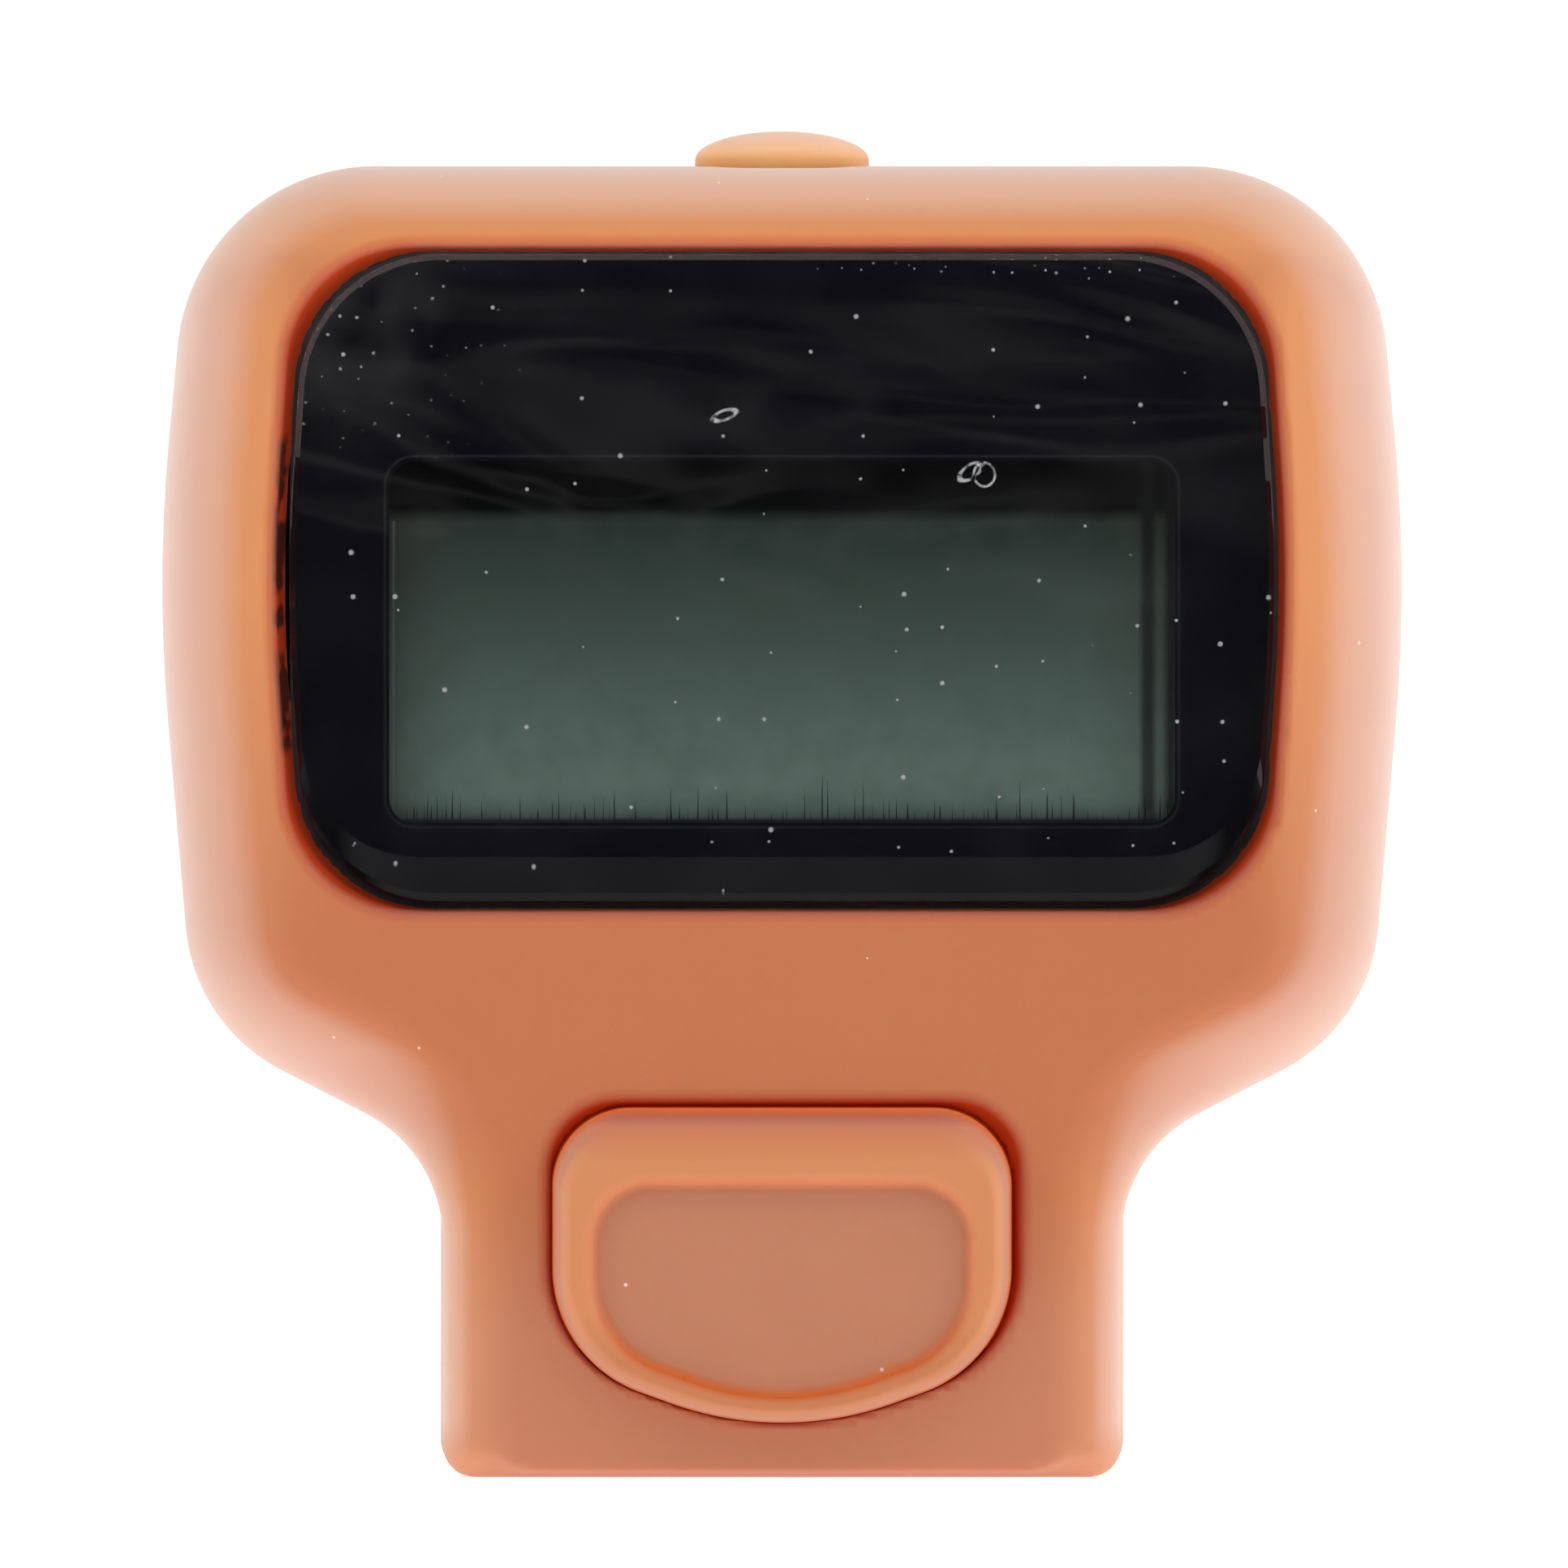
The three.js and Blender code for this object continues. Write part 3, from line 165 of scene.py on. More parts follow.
def srgb(red, green, blue):
    """A colour as read off a screen, 0 to 255, as light."""
    light = [c / 255 for c in (red, green, blue)]
    return tuple(c / 12.92 if c < 0.04045 else ((c + 0.055) / 1.055) ** 2.4 for c in light) + (1.0,)


floor_mesh = bpy.data.meshes.new("floor")
floor_mesh.from_pydata([(-1.5, -1.5, 0), (1.5, -1.5, 0), (1.5, 1.5, 0), (-1.5, 1.5, 0)], [], [(0, 1, 2, 3)])
floor = bpy.data.objects.new("floor", floor_mesh)
scene.collection.objects.link(floor)
paper = Finish("white_paper")
grain = paper.noise(0.8, 4)
floor_mesh.materials.append(paper.done(paper.shade(
    Base_Color=paper.mix(grain, (0.93, 0.93, 0.93, 1), (0.96, 0.96, 0.96, 1)), Roughness=0.9,
    Emission_Color=(1.0, 0.99, 0.98, 1.0), Emission_Strength=0.6)))
floor.visible_glossy = False


class Tent(Finish):
    """The world's light, laid out with the same nodes by the direction it comes from."""

    def __init__(self, name):
        world = bpy.data.worlds.new(name)
        world.use_nodes = True
        scene.world = world
        self.tree = world.node_tree
        self.tree.nodes.clear()
        self.place = self.node("TexCoord", out="Generated")

    def done(self, shader):
        end = self.tree.nodes.new("ShaderNodeOutputWorld")
        self.tree.links.new(shader.socket, end.inputs["Surface"])


# Besides the tent's glow there are a thin level band and a patch low in front. What glossy surfaces mirror
# is dimmed, and most of all in the window.
tent = Tent("light_tent")
front, height = tent.along("Y"), tent.along("Z")
near = front < 0.1
glow = tent.ramp(front, -0.7, -0.3, 0.0, 1.0) * (
    tent.ramp(front, -0.3, 0.0, 1.0, 0.21) + tent.ramp(front, 0.1, 0.5, 0.0, 0.12))
shade = 1 - tent.ramp(height, -0.1, -0.7, 0.0, 0.2) * near
right = 1 + 0.02 * tent.along("X")
band = tent.ramp(abs(height - 0.0072), 0.0005, 0.0022, 0.13, 0.0) * near
straight = tent.ramp(abs(tent.along("X")), 0.2, 0.35, 1.0, 0.0) * near
below = tent.ramp(height, -0.16, -0.38, 0.0, 0.55) * straight
sharp = tent.node("LightPath", out="Is Singular Ray")
dimmer = 1 - tent.node("LightPath", out="Is Glossy Ray") * (0.62 + 0.22 * sharp)
level = 0.03 + 2.6 * glow * shade * right * (1 + 0.1 * height) * dimmer + band + below
ray = tent.node("LightPath", out="Is Camera Ray")
level = tent.node("Mix", {"data_type": "FLOAT"}, {"Factor": ray, "A": level, "B": 1.05})
tent.done(tent.node("Background", {}, {"Color": (1.0, 0.995, 0.99, 1.0), "Strength": level},
                    out="Background"))


def softbox(name, place, aim, size, watts):
    lamp = bpy.data.objects.new(name, bpy.data.lights.new(name, "AREA"))
    lamp.data.shape = "RECTANGLE"
    lamp.data.size, lamp.data.size_y = size[0] * MM, size[1] * MM
    lamp.data.energy = watts
    lamp.location = Vector(place) * MM
    lamp.rotation_euler = (Vector(aim) - Vector(place)).to_track_quat("-Z", "Y").to_euler()
    lamp.visible_camera = False
    scene.collection.objects.link(lamp)
    return lamp


softbox("light_right", (400, -60, 60), (0, 0, 20), (300, 300), 0.3)

# Silicone sleeve
# One soft salmon moulding: a bowed head that wraps the hard case, a narrow neck round the count key, and a
# D-shaped finger ring behind the neck. Every edge is radiused, as it comes out of the mould.
NECK_HALF, NECK_TOP = 9.55, 9.1
HEAD_HALF, HEAD_LOW, HEAD_TOP, HEAD_BACK = 17.45, 12.7, 36.9, 12.0
HEAD_DRAWN_IN, HEAD_SWELL = 0.88, 0.2
SIDE_BOW = 45
LENS_HALF, LENS_BOWED_HALF = 13.35, 13.95
LENS_LOW, LENS_MIDDLE, LENS_HIGH = 16.1, 25.25, 34.4
LENS_CORNER = 4
KEY_HALF, KEY_BOTTOM, KEY_LOWER_CORNER, KEY_TOP = 6.45, 0.95, 3.3, 10.4
NECK_SHOULDER, FACE_SHOULDER, BACK_SHOULDER = 1.9, 4.4, 3.0
CASE_FRONT, CASE_BACK = 1.3, 10.95
HOLE_OVERRUN = 0.5
RING_HALF, RING_BACK, RING_HEIGHT, RING_FALL = 9.67, 27.5, 12.0, 0.16
RING_ROOT_IN, RING_ROOT_DEPTH = 0.4, 7
FINGER_HALF, FINGER_FRONT, FINGER_BACK = 7.75, 12.4, 25.5
NUB_DEPTH, NUB_HALF, NUB_ROUND, NUB_LOW = 4.75, 2.45, 1.45, 34.0
NUB_FLANGE, NUB_GAP = 0.6, 0.4
PLAN_PITCH = 0.2
PLAN_MARGIN = 3.0


def mirrored(right):
    """The corners of a whole outline from those of its right half, each given as x, height and radius."""
    return right + [(-x, z, r) for x, z, r in reversed(right) if x > 0]


def drawn_in(corners, walls):
    """The corners moved inwards by a wall for each side, with their radii."""
    count = len(corners)
    walls = [walls] * count if isinstance(walls, (int, float)) else walls
    sides = []
    for (x, z, _), (nx, nz, _), wall in zip(corners, corners[1:] + corners[:1], walls):
        way = complex(nx - x, nz - z)
        way /= abs(way)
        sides.append((complex(x, z) + wall * 1j * way, way, wall))
    moved = []
    for i, (_, _, radius) in enumerate(corners):
        (start, before, wall_a), (goal, after, wall_b) = sides[i - 1], sides[i]
        cross = (before.conjugate() * after).imag
        reach = ((goal - start).conjugate() * after).imag / cross
        corner = start + reach * before
        inset = math.copysign((wall_a + wall_b) / 2, cross)
        moved.append((corner.real, corner.imag, max(radius - inset, 0.1)))
    return moved


def rounded(corners, steps=None):
    """Points along the outline through rounded corners, a degree and a half apart or in so many steps."""
    points = []
    for i, (x, z, radius) in enumerate(corners):
        corner = complex(x, z)
        back = complex(*corners[i - 1][:2]) - corner
        ahead = complex(*corners[(i + 1) % len(corners)][:2]) - corner
        room = 0.49 * min(abs(back), abs(ahead))
        back, ahead = back / abs(back), ahead / abs(ahead)
        half = math.acos(max(-1, min(1, (back * ahead.conjugate()).real))) / 2
        reach = min(radius / math.tan(half), room)
        middle = corner + (back + ahead) / abs(back + ahead) * reach / math.cos(half)
        arm = corner + back * reach - middle
        turn = math.copysign(math.pi - 2 * half, (arm.conjugate() * (corner - middle)).imag)
        count = steps or max(4, math.ceil(abs(turn) / math.radians(1.5)))
        for k in range(count + 1):
            spot = middle + arm * complex(math.cos(turn * k / count), math.sin(turn * k / count))
            points.append((spot.real, spot.imag))
    return points


class Plan:
    """Distance from an outline in its plane, less than zero inside, measured once and read smoothly."""

    def __init__(self, corners):
        loop = np.array(rounded(corners))
        self.low = loop.min(0) - PLAN_MARGIN
        count = np.ceil((loop.max(0) + PLAN_MARGIN - self.low) / PLAN_PITCH).astype(int) + 1
        a, b = (self.low[k] + PLAN_PITCH * np.arange(count[k]) for k in (0, 1))
        a, b = (v.ravel() for v in np.meshgrid(a, b, indexing="ij"))
        nearest = np.full(a.shape, 1e9)
        inside = np.zeros(a.shape, bool)
        for (pa, pb), (qa, qb) in zip(loop, np.roll(loop, -1, 0)):
            da, db = qa - pa, qb - pb
            length = da * da + db * db
            if length < 1e-12:
                continue
            share = np.clip(((a - pa) * da + (b - pb) * db) / length, 0, 1)
            nearest = np.minimum(nearest, (a - pa - share * da) ** 2 + (b - pb - share * db) ** 2)
            if pb != qb:
                inside ^= ((pb > b) != (qb > b)) & (a < pa + (b - pb) * da / db)
        self.table = (np.sqrt(nearest) * np.where(inside, -1, 1)).reshape(count)

    def __call__(self, a, b):
        a, b = np.broadcast_arrays(a, b)
        spots, weights = [], []
        for value, low, count in zip((a, b), self.low, self.table.shape):
            spot = np.clip((value - low) / PLAN_PITCH, 1, count - 2.001)
            cell = spot.astype(int)
            t = spot - cell
            spots.append(cell)
            weights.append((
                t * (t * (2 - t) - 1) / 2, (t * t * (3 * t - 5) + 2) / 2,
                t * (t * (4 - 3 * t) + 1) / 2, t * t * (t - 1) / 2))
        total = 0.0
        for m in range(4):
            for n in range(4):
                share = weights[0][m] * weights[1][n]
                total = total + share * self.table[spots[0] + m - 1, spots[1] + n - 1]
        return total


def eased(first, second, radius):
    """What two shapes share, with the edge where they meet rounded."""
    a, b = first + radius, second + radius
    return np.hypot(np.maximum(a, 0), np.maximum(b, 0)) + np.minimum(np.maximum(a, b), 0) - radius


def blended(first, second, reach):
    """Two shapes run together with a fillet."""
    near = np.maximum(reach - np.abs(first - second), 0)
    return np.minimum(first, second) - near * near / (4 * reach)


def swelling(edge, full, beyond, depth, power=2.0):
    """A side that swells from an edge outline to the full outline: a quarter ellipse of that depth at
    a power of two, nearer a bevel below it."""
    width = np.maximum(edge - full, 0.05)
    a, b = np.maximum(edge / width, 0), np.maximum(beyond / depth, 0)
    reach = np.maximum(a ** power + b ** power, 1e-12) ** (1 / power)
    slope = np.hypot((a / reach) ** (power - 1) / width, (b / reach) ** (power - 1) / depth)
    return np.where(reach > 1e-5, (reach - 1) / np.maximum(slope, 0.1), -1.0)


def slope_of(shape, points, step=0.02):
    slopes = []
    for axis in range(3):
        shift = np.zeros(3)
        shift[axis] = step
        slopes.append((shape(*(points + shift).T) - shape(*(points - shift).T)) / (2 * step))
    return np.stack(slopes, 1)


def moulded(name, shape, low, high, pitch, marks=None):
    """A mesh on the surface of a shape, given as a distance at (x, depth, z): one point in each cell
    that the surface crosses, pulled onto the surface, with the shape's own slope as its normals."""
    axes = [np.arange(a, b + pitch, pitch) for a, b in zip(low, high)]
    value = np.broadcast_to(shape(*np.ix_(*axes)), [len(a) for a in axes])
    solid = value < 0
    size = np.array(value.shape)
    total = np.zeros((solid.size, 3))
    hits = np.zeros(solid.size)
    quads = []
    flat = np.array([size[1] * size[2], size[2], 1])
    for axis in range(3):
        ahead = [slice(None)] * 3
        behind = [slice(None)] * 3
        ahead[axis], behind[axis] = slice(1, None), slice(None, -1)
        node = np.argwhere(solid[tuple(ahead)] != solid[tuple(behind)])
        here = value[tuple(node.T)]
        step = np.zeros(3, int)
        step[axis] = 1
        there = value[tuple((node + step).T)]
        point = node + step * (here / (here - there))[:, None]
        u, v = np.eye(3, dtype=int)[(axis + 1) % 3], np.eye(3, dtype=int)[(axis + 2) % 3]
        ring = [(node - shift) @ flat for shift in (0 * u, u, u + v, v)]
        for cell in ring:
            for k in range(3):
                total[:, k] += np.bincount(cell, point[:, k], solid.size)
            hits += np.bincount(cell, minlength=solid.size)
        ring = np.stack(ring, 1)
        quads.append(np.where((here < 0)[:, None], ring, ring[:, ::-1]))
    used = np.flatnonzero(hits)
    index = np.full(solid.size, -1)
    index[used] = np.arange(len(used))
    points = np.array(low) + pitch * total[used] / hits[used, None]
    for _ in range(3):
        slope = slope_of(shape, points)
        push = shape(*points.T)[:, None] * slope / np.maximum((slope ** 2).sum(1), 0.25)[:, None]
        points -= np.clip(push, -0.5 * pitch, 0.5 * pitch)
    slope = slope_of(shape, points)
    mesh = bpy.data.meshes.new(name)
    mesh.from_pydata(((points + [0, FACE, 0]) * MM).tolist(), [], index[np.concatenate(quads)].tolist())
    mesh.shade_smooth()
    mesh.normals_split_custom_set_from_vertices(slope / np.linalg.norm(slope, axis=1)[:, None])
    if marks:
        mark = mesh.attributes.new("gap", "FLOAT", "POINT")
        mark.data.foreach_set("value", marks(*points.T).astype(np.float32))
    piece = bpy.data.objects.new(name, mesh)
    scene.collection.objects.link(piece)
    return piece


def body_walls(bottom, neck, shoulder, side, top):
    return [neck, shoulder, side, side, top, side, side, shoulder, neck, bottom]


body_corners = mirrored([
    (NECK_HALF, 0, 0.9), (NECK_HALF, NECK_TOP, 4), (HEAD_HALF - HEAD_DRAWN_IN, HEAD_LOW, 5),
    (HEAD_HALF + HEAD_SWELL, LENS_MIDDLE, SIDE_BOW), (HEAD_HALF - HEAD_DRAWN_IN, HEAD_TOP, 5.6)])
lens_corners = mirrored([
    (LENS_HALF, LENS_LOW, LENS_CORNER), (LENS_BOWED_HALF, LENS_MIDDLE, SIDE_BOW),
    (LENS_HALF, LENS_HIGH, LENS_CORNER)])
key_corners = mirrored([
    (0, KEY_BOTTOM, 12), (KEY_HALF, KEY_LOWER_CORNER, 3.7), (KEY_HALF, KEY_TOP, 2.2)])

body = Plan(body_corners)
face_corners = drawn_in(body_corners, body_walls(0.25, 1.8, 2.6, 2.7, 1.7))
body_face = Plan([(x, z, 0.8 if z < 1 else r) for x, z, r in face_corners])
body_back = Plan(drawn_in(body_corners, body_walls(0.05, 0.5, 1.4, 1.4, 1.2)))
cavity = Plan(drawn_in(body_corners, body_walls(0.6, 1.3, 2.2, 2.1, 1.2)))
window = Plan(drawn_in(lens_corners, [-0.42, -0.42, -0.3, -0.5, -0.5, -0.26]))
window_foot = Plan(drawn_in(lens_corners, -0.08))
key_hole = Plan(drawn_in(key_corners, [-0.03, -0.33, -0.28, -0.18, -0.03]))
key_hole_foot = Plan(drawn_in(key_corners, -0.03))
back_opening = Plan(mirrored([(13.55, 12, 6), (13.55, 33.6, 3.5)]))
ring_plan = Plan(mirrored([
    (NECK_HALF - RING_ROOT_IN, RING_ROOT_DEPTH, 0.1), (RING_HALF, HEAD_BACK, 6),
    (RING_HALF, RING_BACK, 8.5)]))
finger_plan = Plan(mirrored([(FINGER_HALF, FINGER_FRONT, 3.5), (FINGER_HALF, FINGER_BACK, 6.5)]))


def smoothly(value, start, length):
    """From 0 to 1 over a length, with no kink at either end."""
    share = np.clip((value - start) / length, 0, 1)
    return share * share * (3 - 2 * share)


def nub_outline(x, y, wider):
    """Distance from the nub's outline on the top, drawn wider all round."""
    return np.hypot(np.maximum(np.abs(x) - NUB_HALF + NUB_ROUND, 0), y - NUB_DEPTH) - NUB_ROUND - wider


def leaning(hole, foot, x, y, z):
    """A hole whose wall leans in from the face to its foot."""
    lean = np.clip((y - 0.1) / 1.1, 0, 1)
    return hole(x, z) * (1 - lean) + foot(x, z) * lean


def sleeve_shape(x, y, z):
    full = body(x, z)
    low, rise = smoothly(z, 7.5, 4.5), smoothly(z, 13, 5)
    edge = full + (body_face(x, z) - full) * (1.16 + 0.29 * rise)
    shoulder = NECK_SHOULDER + (FACE_SHOULDER - NECK_SHOULDER) * low - 1.3 * np.clip((z - 32) / 4, 0, 1)
    front = eased(swelling(edge, full, shoulder - y, shoulder, 2 - 0.4 * low + 0.1 * rise), -y, 0.2)
    back = swelling(body_back(x, z), full, y - HEAD_BACK + BACK_SHOULDER, BACK_SHOULDER)
    ring_top = z - RING_HEIGHT + RING_FALL * np.maximum(y - HEAD_BACK, 0)
    ring = eased(eased(ring_plan(x, y), ring_top, 0.5), -z, 0.9)
    whole = blended(np.maximum(front, back), ring, 0.3 + 1.2 * np.clip((z - 8) / 4, 0, 1))
    inside = np.maximum(cavity(x, z), np.maximum(CASE_FRONT - y, y - CASE_BACK))
    whole = eased(whole, -inside, 0.15)
    opening = leaning(window, window_foot, x, y, z)
    whole = eased(whole, -np.maximum(opening, y - CASE_FRONT - HOLE_OVERRUN), 0.14)
    opening = leaning(key_hole, key_hole_foot, x, y * 2.6, z)
    whole = eased(whole, -np.maximum(opening, y - CASE_FRONT - HOLE_OVERRUN), 0.13)
    whole = eased(whole, -np.maximum(nub_outline(x, y, NUB_GAP), NUB_LOW - z), 0.25)
    whole = eased(whole, -np.maximum(back_opening(x, z), CASE_BACK - HOLE_OVERRUN - y), 0.4)
    whole = eased(whole, -finger_plan(x, y), 0.6)
    return np.maximum(whole, -z)


def sleeve_gap(x, y, z):
    """How far a point is over the lip of a hole: 0 on the face, a half on the edge, 1 down in the gap."""
    return np.clip(0.5 - np.minimum(window(x, z), key_hole(x, z)) / 0.66, 0, 1) * (y < 2)


sleeve = moulded("sleeve_moulding", sleeve_shape, (-18.5, -0.6, -0.6), (18.5, 28.1, 37.6), 0.26, sleeve_gap)
silicone = Finish("salmon_silicone")
x, z = silicone.along("X"), silicone.along("Z")
depth = silicone.along("Y") - FACE
inner = silicone.node("Attribute", {"attribute_name": "gap"}, out="Fac")

# The moulding's own salmon, painted lighter beside and above the window for the light there, painted redder
# at a lip for shade
tint = silicone.mix(silicone.noise(9, 3), srgb(191, 111, 64), srgb(195, 115, 68))
# Painted light: the strips beside and above the window and the sides of the neck are painted lighter
beside = silicone.ramp(abs(x), 12.6, 14.4) * silicone.ramp(z, 14, 25)
beside = beside * silicone.ramp(depth, 0.35, 2.0, 1.0, 0.05)
above = silicone.ramp(z, 33.2, 34.8) * silicone.ramp(depth, 1.0, 4.0, 1.0, 0.45)
painted_light_strips = silicone.node("Math", {"operation": "MAXIMUM"}, {0: beside, 1: above})
neck_side = silicone.ramp(abs(x), 7.4, 8.6) * silicone.ramp(z, 10, 8)
tint = silicone.mix(painted_light_strips + neck_side * 0.4, tint, srgb(214, 138, 80))
# Painted shade: the salmon turns darker red towards the lip of each hole
lip = silicone.ramp(inner, 0.1, 0.5) * silicone.ramp(z, 3, 6)
tint = silicone.mix(lip * 0.7, tint, srgb(176, 70, 28))
parting = silicone.ramp(abs(depth - WIDEST_DEPTH), 0.05, 0.0)
foot = silicone.ramp(z, 0.35, 0.1)
skin = silicone.shade(
    Base_Color=silicone.mix(silicone.specks(0.6, 0.06, 3, 0.03), tint, srgb(240, 212, 200)),
    Roughness=0.46 + 0.1 * silicone.noise(1.4) + 0.4 * foot, IOR=1.45,
    Subsurface_Weight=0.4, Subsurface_Radius=(1.0, 0.35, 0.2), Subsurface_Scale=0.8 * MM,
    Sheen_Weight=0.25, Sheen_Roughness=0.6, Sheen_Tint=(1.0, 0.96, 0.95, 1.0),
    Normal=silicone.bump(silicone.noise(0.09, 2) * 0.25 + parting, 1.0, 0.012))

# Down in a gap, where light comes through the silicone, a shaded copy painted deep red for shade, with
# painted dark patches of shade on the window's left wall
patches = silicone.ramp(silicone.noise(1.3, 2, (1, 1, 1), 5), 0.46, 0.54)
painted_gap_dark = silicone.ramp(x, -13.6, -13.9) * silicone.ramp(abs(z - 24.8), 4.6, 4.2) * patches
painted_gap_red = silicone.mix(silicone.noise(1.5), srgb(180, 58, 12), srgb(166, 46, 8))
shadowed = silicone.shade(
    Base_Color=silicone.mix(painted_gap_dark * 0.9, painted_gap_red, srgb(40, 8, 6)),
    Roughness=0.7 + 0.1 * silicone.noise(1), Specular_IOR_Level=0.15,
    Subsurface_Weight=0.5, Subsurface_Radius=(1.0, 0.25, 0.1), Subsurface_Scale=0.6 * MM)

# Painted sheen on the dusty silicone: a pale copy mixed in as the surface turns away, and a little of it low
# on the neck
painted_sheen_pale = silicone.shade(
    Base_Color=silicone.mix(silicone.noise(2), (0.84, 0.80, 0.77, 1), (0.88, 0.83, 0.80, 1)),
    Roughness=0.9, Specular_IOR_Level=0.2)
facing = silicone.node("LayerWeight", {}, {"Blend": 0.5}, out="Facing")
sheen = silicone.ramp(facing, 0.17, 0.3, 0.0, 0.19) + silicone.ramp(facing, 0.3, 0.8, 0.0, 0.32)
clear_of_edges = silicone.ramp(inner, 0.1, 0.45, 1.0, 0.0) * silicone.ramp(z, 0.3, 1.6)
painted_sheen_share = sheen * clear_of_edges * silicone.ramp(z, 8, 26, 0.74, 1.0) + silicone.ramp(z, 8, 4, 0.0, 0.06)
skin_with_painted_sheen = silicone.node("MixShader", {}, {0: painted_sheen_share, 1: skin, 2: painted_sheen_pale}, out="Shader")
sleeve.data.materials.append(silicone.done(silicone.node(
    "MixShader", {}, {0: silicone.ramp(inner, 0.47, 0.74), 1: skin_with_painted_sheen, 2: shadowed}, out="Shader")))
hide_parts("silicone_sleeve")
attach(sleeve, "case")


# Count key
# The count key: a D-shaped cap of the same salmon, harder than the sleeve, with a raised rim round a bare
# sunken field. A flange behind the case keeps it in, and a stem at its back presses the switch.
KEY_PROUD, KEY_FIELD, KEY_SHELL = 0.8, -0.4, 0.9
KEY_FLANGE, KEY_FLANGE_LOW, KEY_FLANGE_CORNER = 0.5, 3.4, 2.2
FIELD_TOP_CORNER = 1.6
CASE_INSIDE = 2.5
KEY_BACK = CASE_INSIDE + 0.6
KEY_MIDDLE = 5.95
STEM_BACK, STEM_RADIUS = 3.3, 1.1


def key_walls(bottom, side, top):
    return [bottom, side, top, side, bottom]


key_outer = Plan(key_corners)
key_crown = Plan(drawn_in(key_corners, key_walls(0.4, 0.55, 1.5)))
field_corners = drawn_in(key_corners, key_walls(0.78, 1.15, 2.15))
key_field = Plan([(x, z, FIELD_TOP_CORNER if z > KEY_MIDDLE else r) for x, z, r in field_corners])
key_inside = Plan(drawn_in(key_corners, KEY_SHELL))
key_flange = Plan(mirrored([
    (KEY_HALF + KEY_FLANGE, KEY_FLANGE_LOW, KEY_FLANGE_CORNER),
    (KEY_HALF + KEY_FLANGE, KEY_TOP + KEY_FLANGE, KEY_FLANGE_CORNER)]))


def key_shape(x, y, z):
    full = key_outer(x, z)
    whole = swelling(key_crown(x, z), full, -y, KEY_PROUD, 1.5)
    flange = np.maximum(key_flange(x, z), CASE_INSIDE - y)
    whole = np.maximum(np.minimum(whole, flange), y - KEY_BACK)
    whole = np.maximum(whole, -np.maximum(key_inside(x, z), 0.5 - y))
    whole = eased(whole, -eased(key_field(x, z), y - KEY_FIELD, 0.16), 0.36)
    stem = eased(np.hypot(x, z - KEY_MIDDLE) - STEM_RADIUS, y - STEM_BACK, 0.15)
    return np.minimum(whole, np.maximum(stem, 0.1 - y))


def key_fold(x, y, z):
    """Where the wall round the sunken field meets its floor, most along the bottom, and the key's sides."""
    near = np.clip(1.2 - np.abs(key_field(x, z) + 0.02) / 0.22, 0, 1) * (y < 0)
    near = near * (0.4 + 0.6 * np.clip((5 - z) / 2, 0, 1))
    return np.maximum(near, np.clip((y + 0.35) / 0.25, 0, 1) * (key_outer(x, z) > -0.3))


key = moulded("count_key_cap", key_shape, (-7.3, -1.0, 1.0), (7.3, 3.5, 11.2), 0.13, key_fold)
key_plastic = Finish("salmon_key_plastic")
z = key_plastic.along("Z")
depth = key_plastic.along("Y") - FACE

# Painted light and shade: the rim lighter than the sunken field, the rim's foot in shade, its top edge red
# for the gap's shade
rim = key_plastic.mix(key_plastic.noise(5, 3), srgb(206, 131, 78), srgb(210, 135, 82))
rim = key_plastic.mix(key_plastic.ramp(z, 4.6, 3.2) * 0.6, rim, srgb(184, 112, 64))
field = key_plastic.mix(key_plastic.noise(2, 3), srgb(188, 119, 84), srgb(192, 123, 88))
tint = key_plastic.mix(key_plastic.ramp(depth, -0.62, -0.46), rim, field)
# Painted shade: the upper slope is painted darker under the sleeve's lip
tint = key_plastic.mix(key_plastic.ramp(z, 8.9, 9.9) * 0.8, tint, srgb(198, 108, 66))
tint = key_plastic.mix(key_plastic.ramp(z, 9.85, 10.25) * 0.9, tint, srgb(158, 46, 18))
fold = key_plastic.node("Attribute", {"attribute_name": "gap"}, out="Fac")
smooth = key_plastic.shade(
    Base_Color=key_plastic.mix(key_plastic.specks(0.6, 0.06, 5, 0.03), tint, srgb(240, 214, 200)),
    Roughness=0.44 + 0.1 * key_plastic.noise(1.1), IOR=1.45,
    Subsurface_Weight=0.3, Subsurface_Radius=(1.0, 0.35, 0.2), Subsurface_Scale=0.6 * MM,
    Sheen_Weight=0.4, Sheen_Roughness=0.6, Sheen_Tint=(1.0, 0.96, 0.95, 1.0),
    Normal=key_plastic.bump(key_plastic.noise(0.08), 0.2, 0.008))

# Painted shade in the folds, a redder shaded copy, and on the sides down in the gap a painted red glow for
# the light that comes through the sleeve
painted_gap_glow = key_plastic.mix(key_plastic.ramp(depth, -0.3, 0.0), (0, 0, 0, 1), (0.5, 0.06, 0.012, 1))
painted_fold_shade = key_plastic.shade(
    Base_Color=key_plastic.mix(key_plastic.noise(1), srgb(208, 104, 46), srgb(200, 96, 40)),
    Roughness=0.7, Specular_IOR_Level=0.2, Emission_Strength=0.3, Emission_Color=painted_gap_glow)
key.data.materials.append(key_plastic.done(key_plastic.node(
    "MixShader", {}, {0: fold, 1: smooth, 2: painted_fold_shade}, out="Shader")))
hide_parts("count_button")
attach(key, "count_key")

# Reset nub
# The reset nub on top: a flattened dome in the key's plastic, with a flange that keeps it under the case.
NUB_WALL_TOP, NUB_TOP = 37.1, 37.9
NUB_SQUARENESS = 2.6


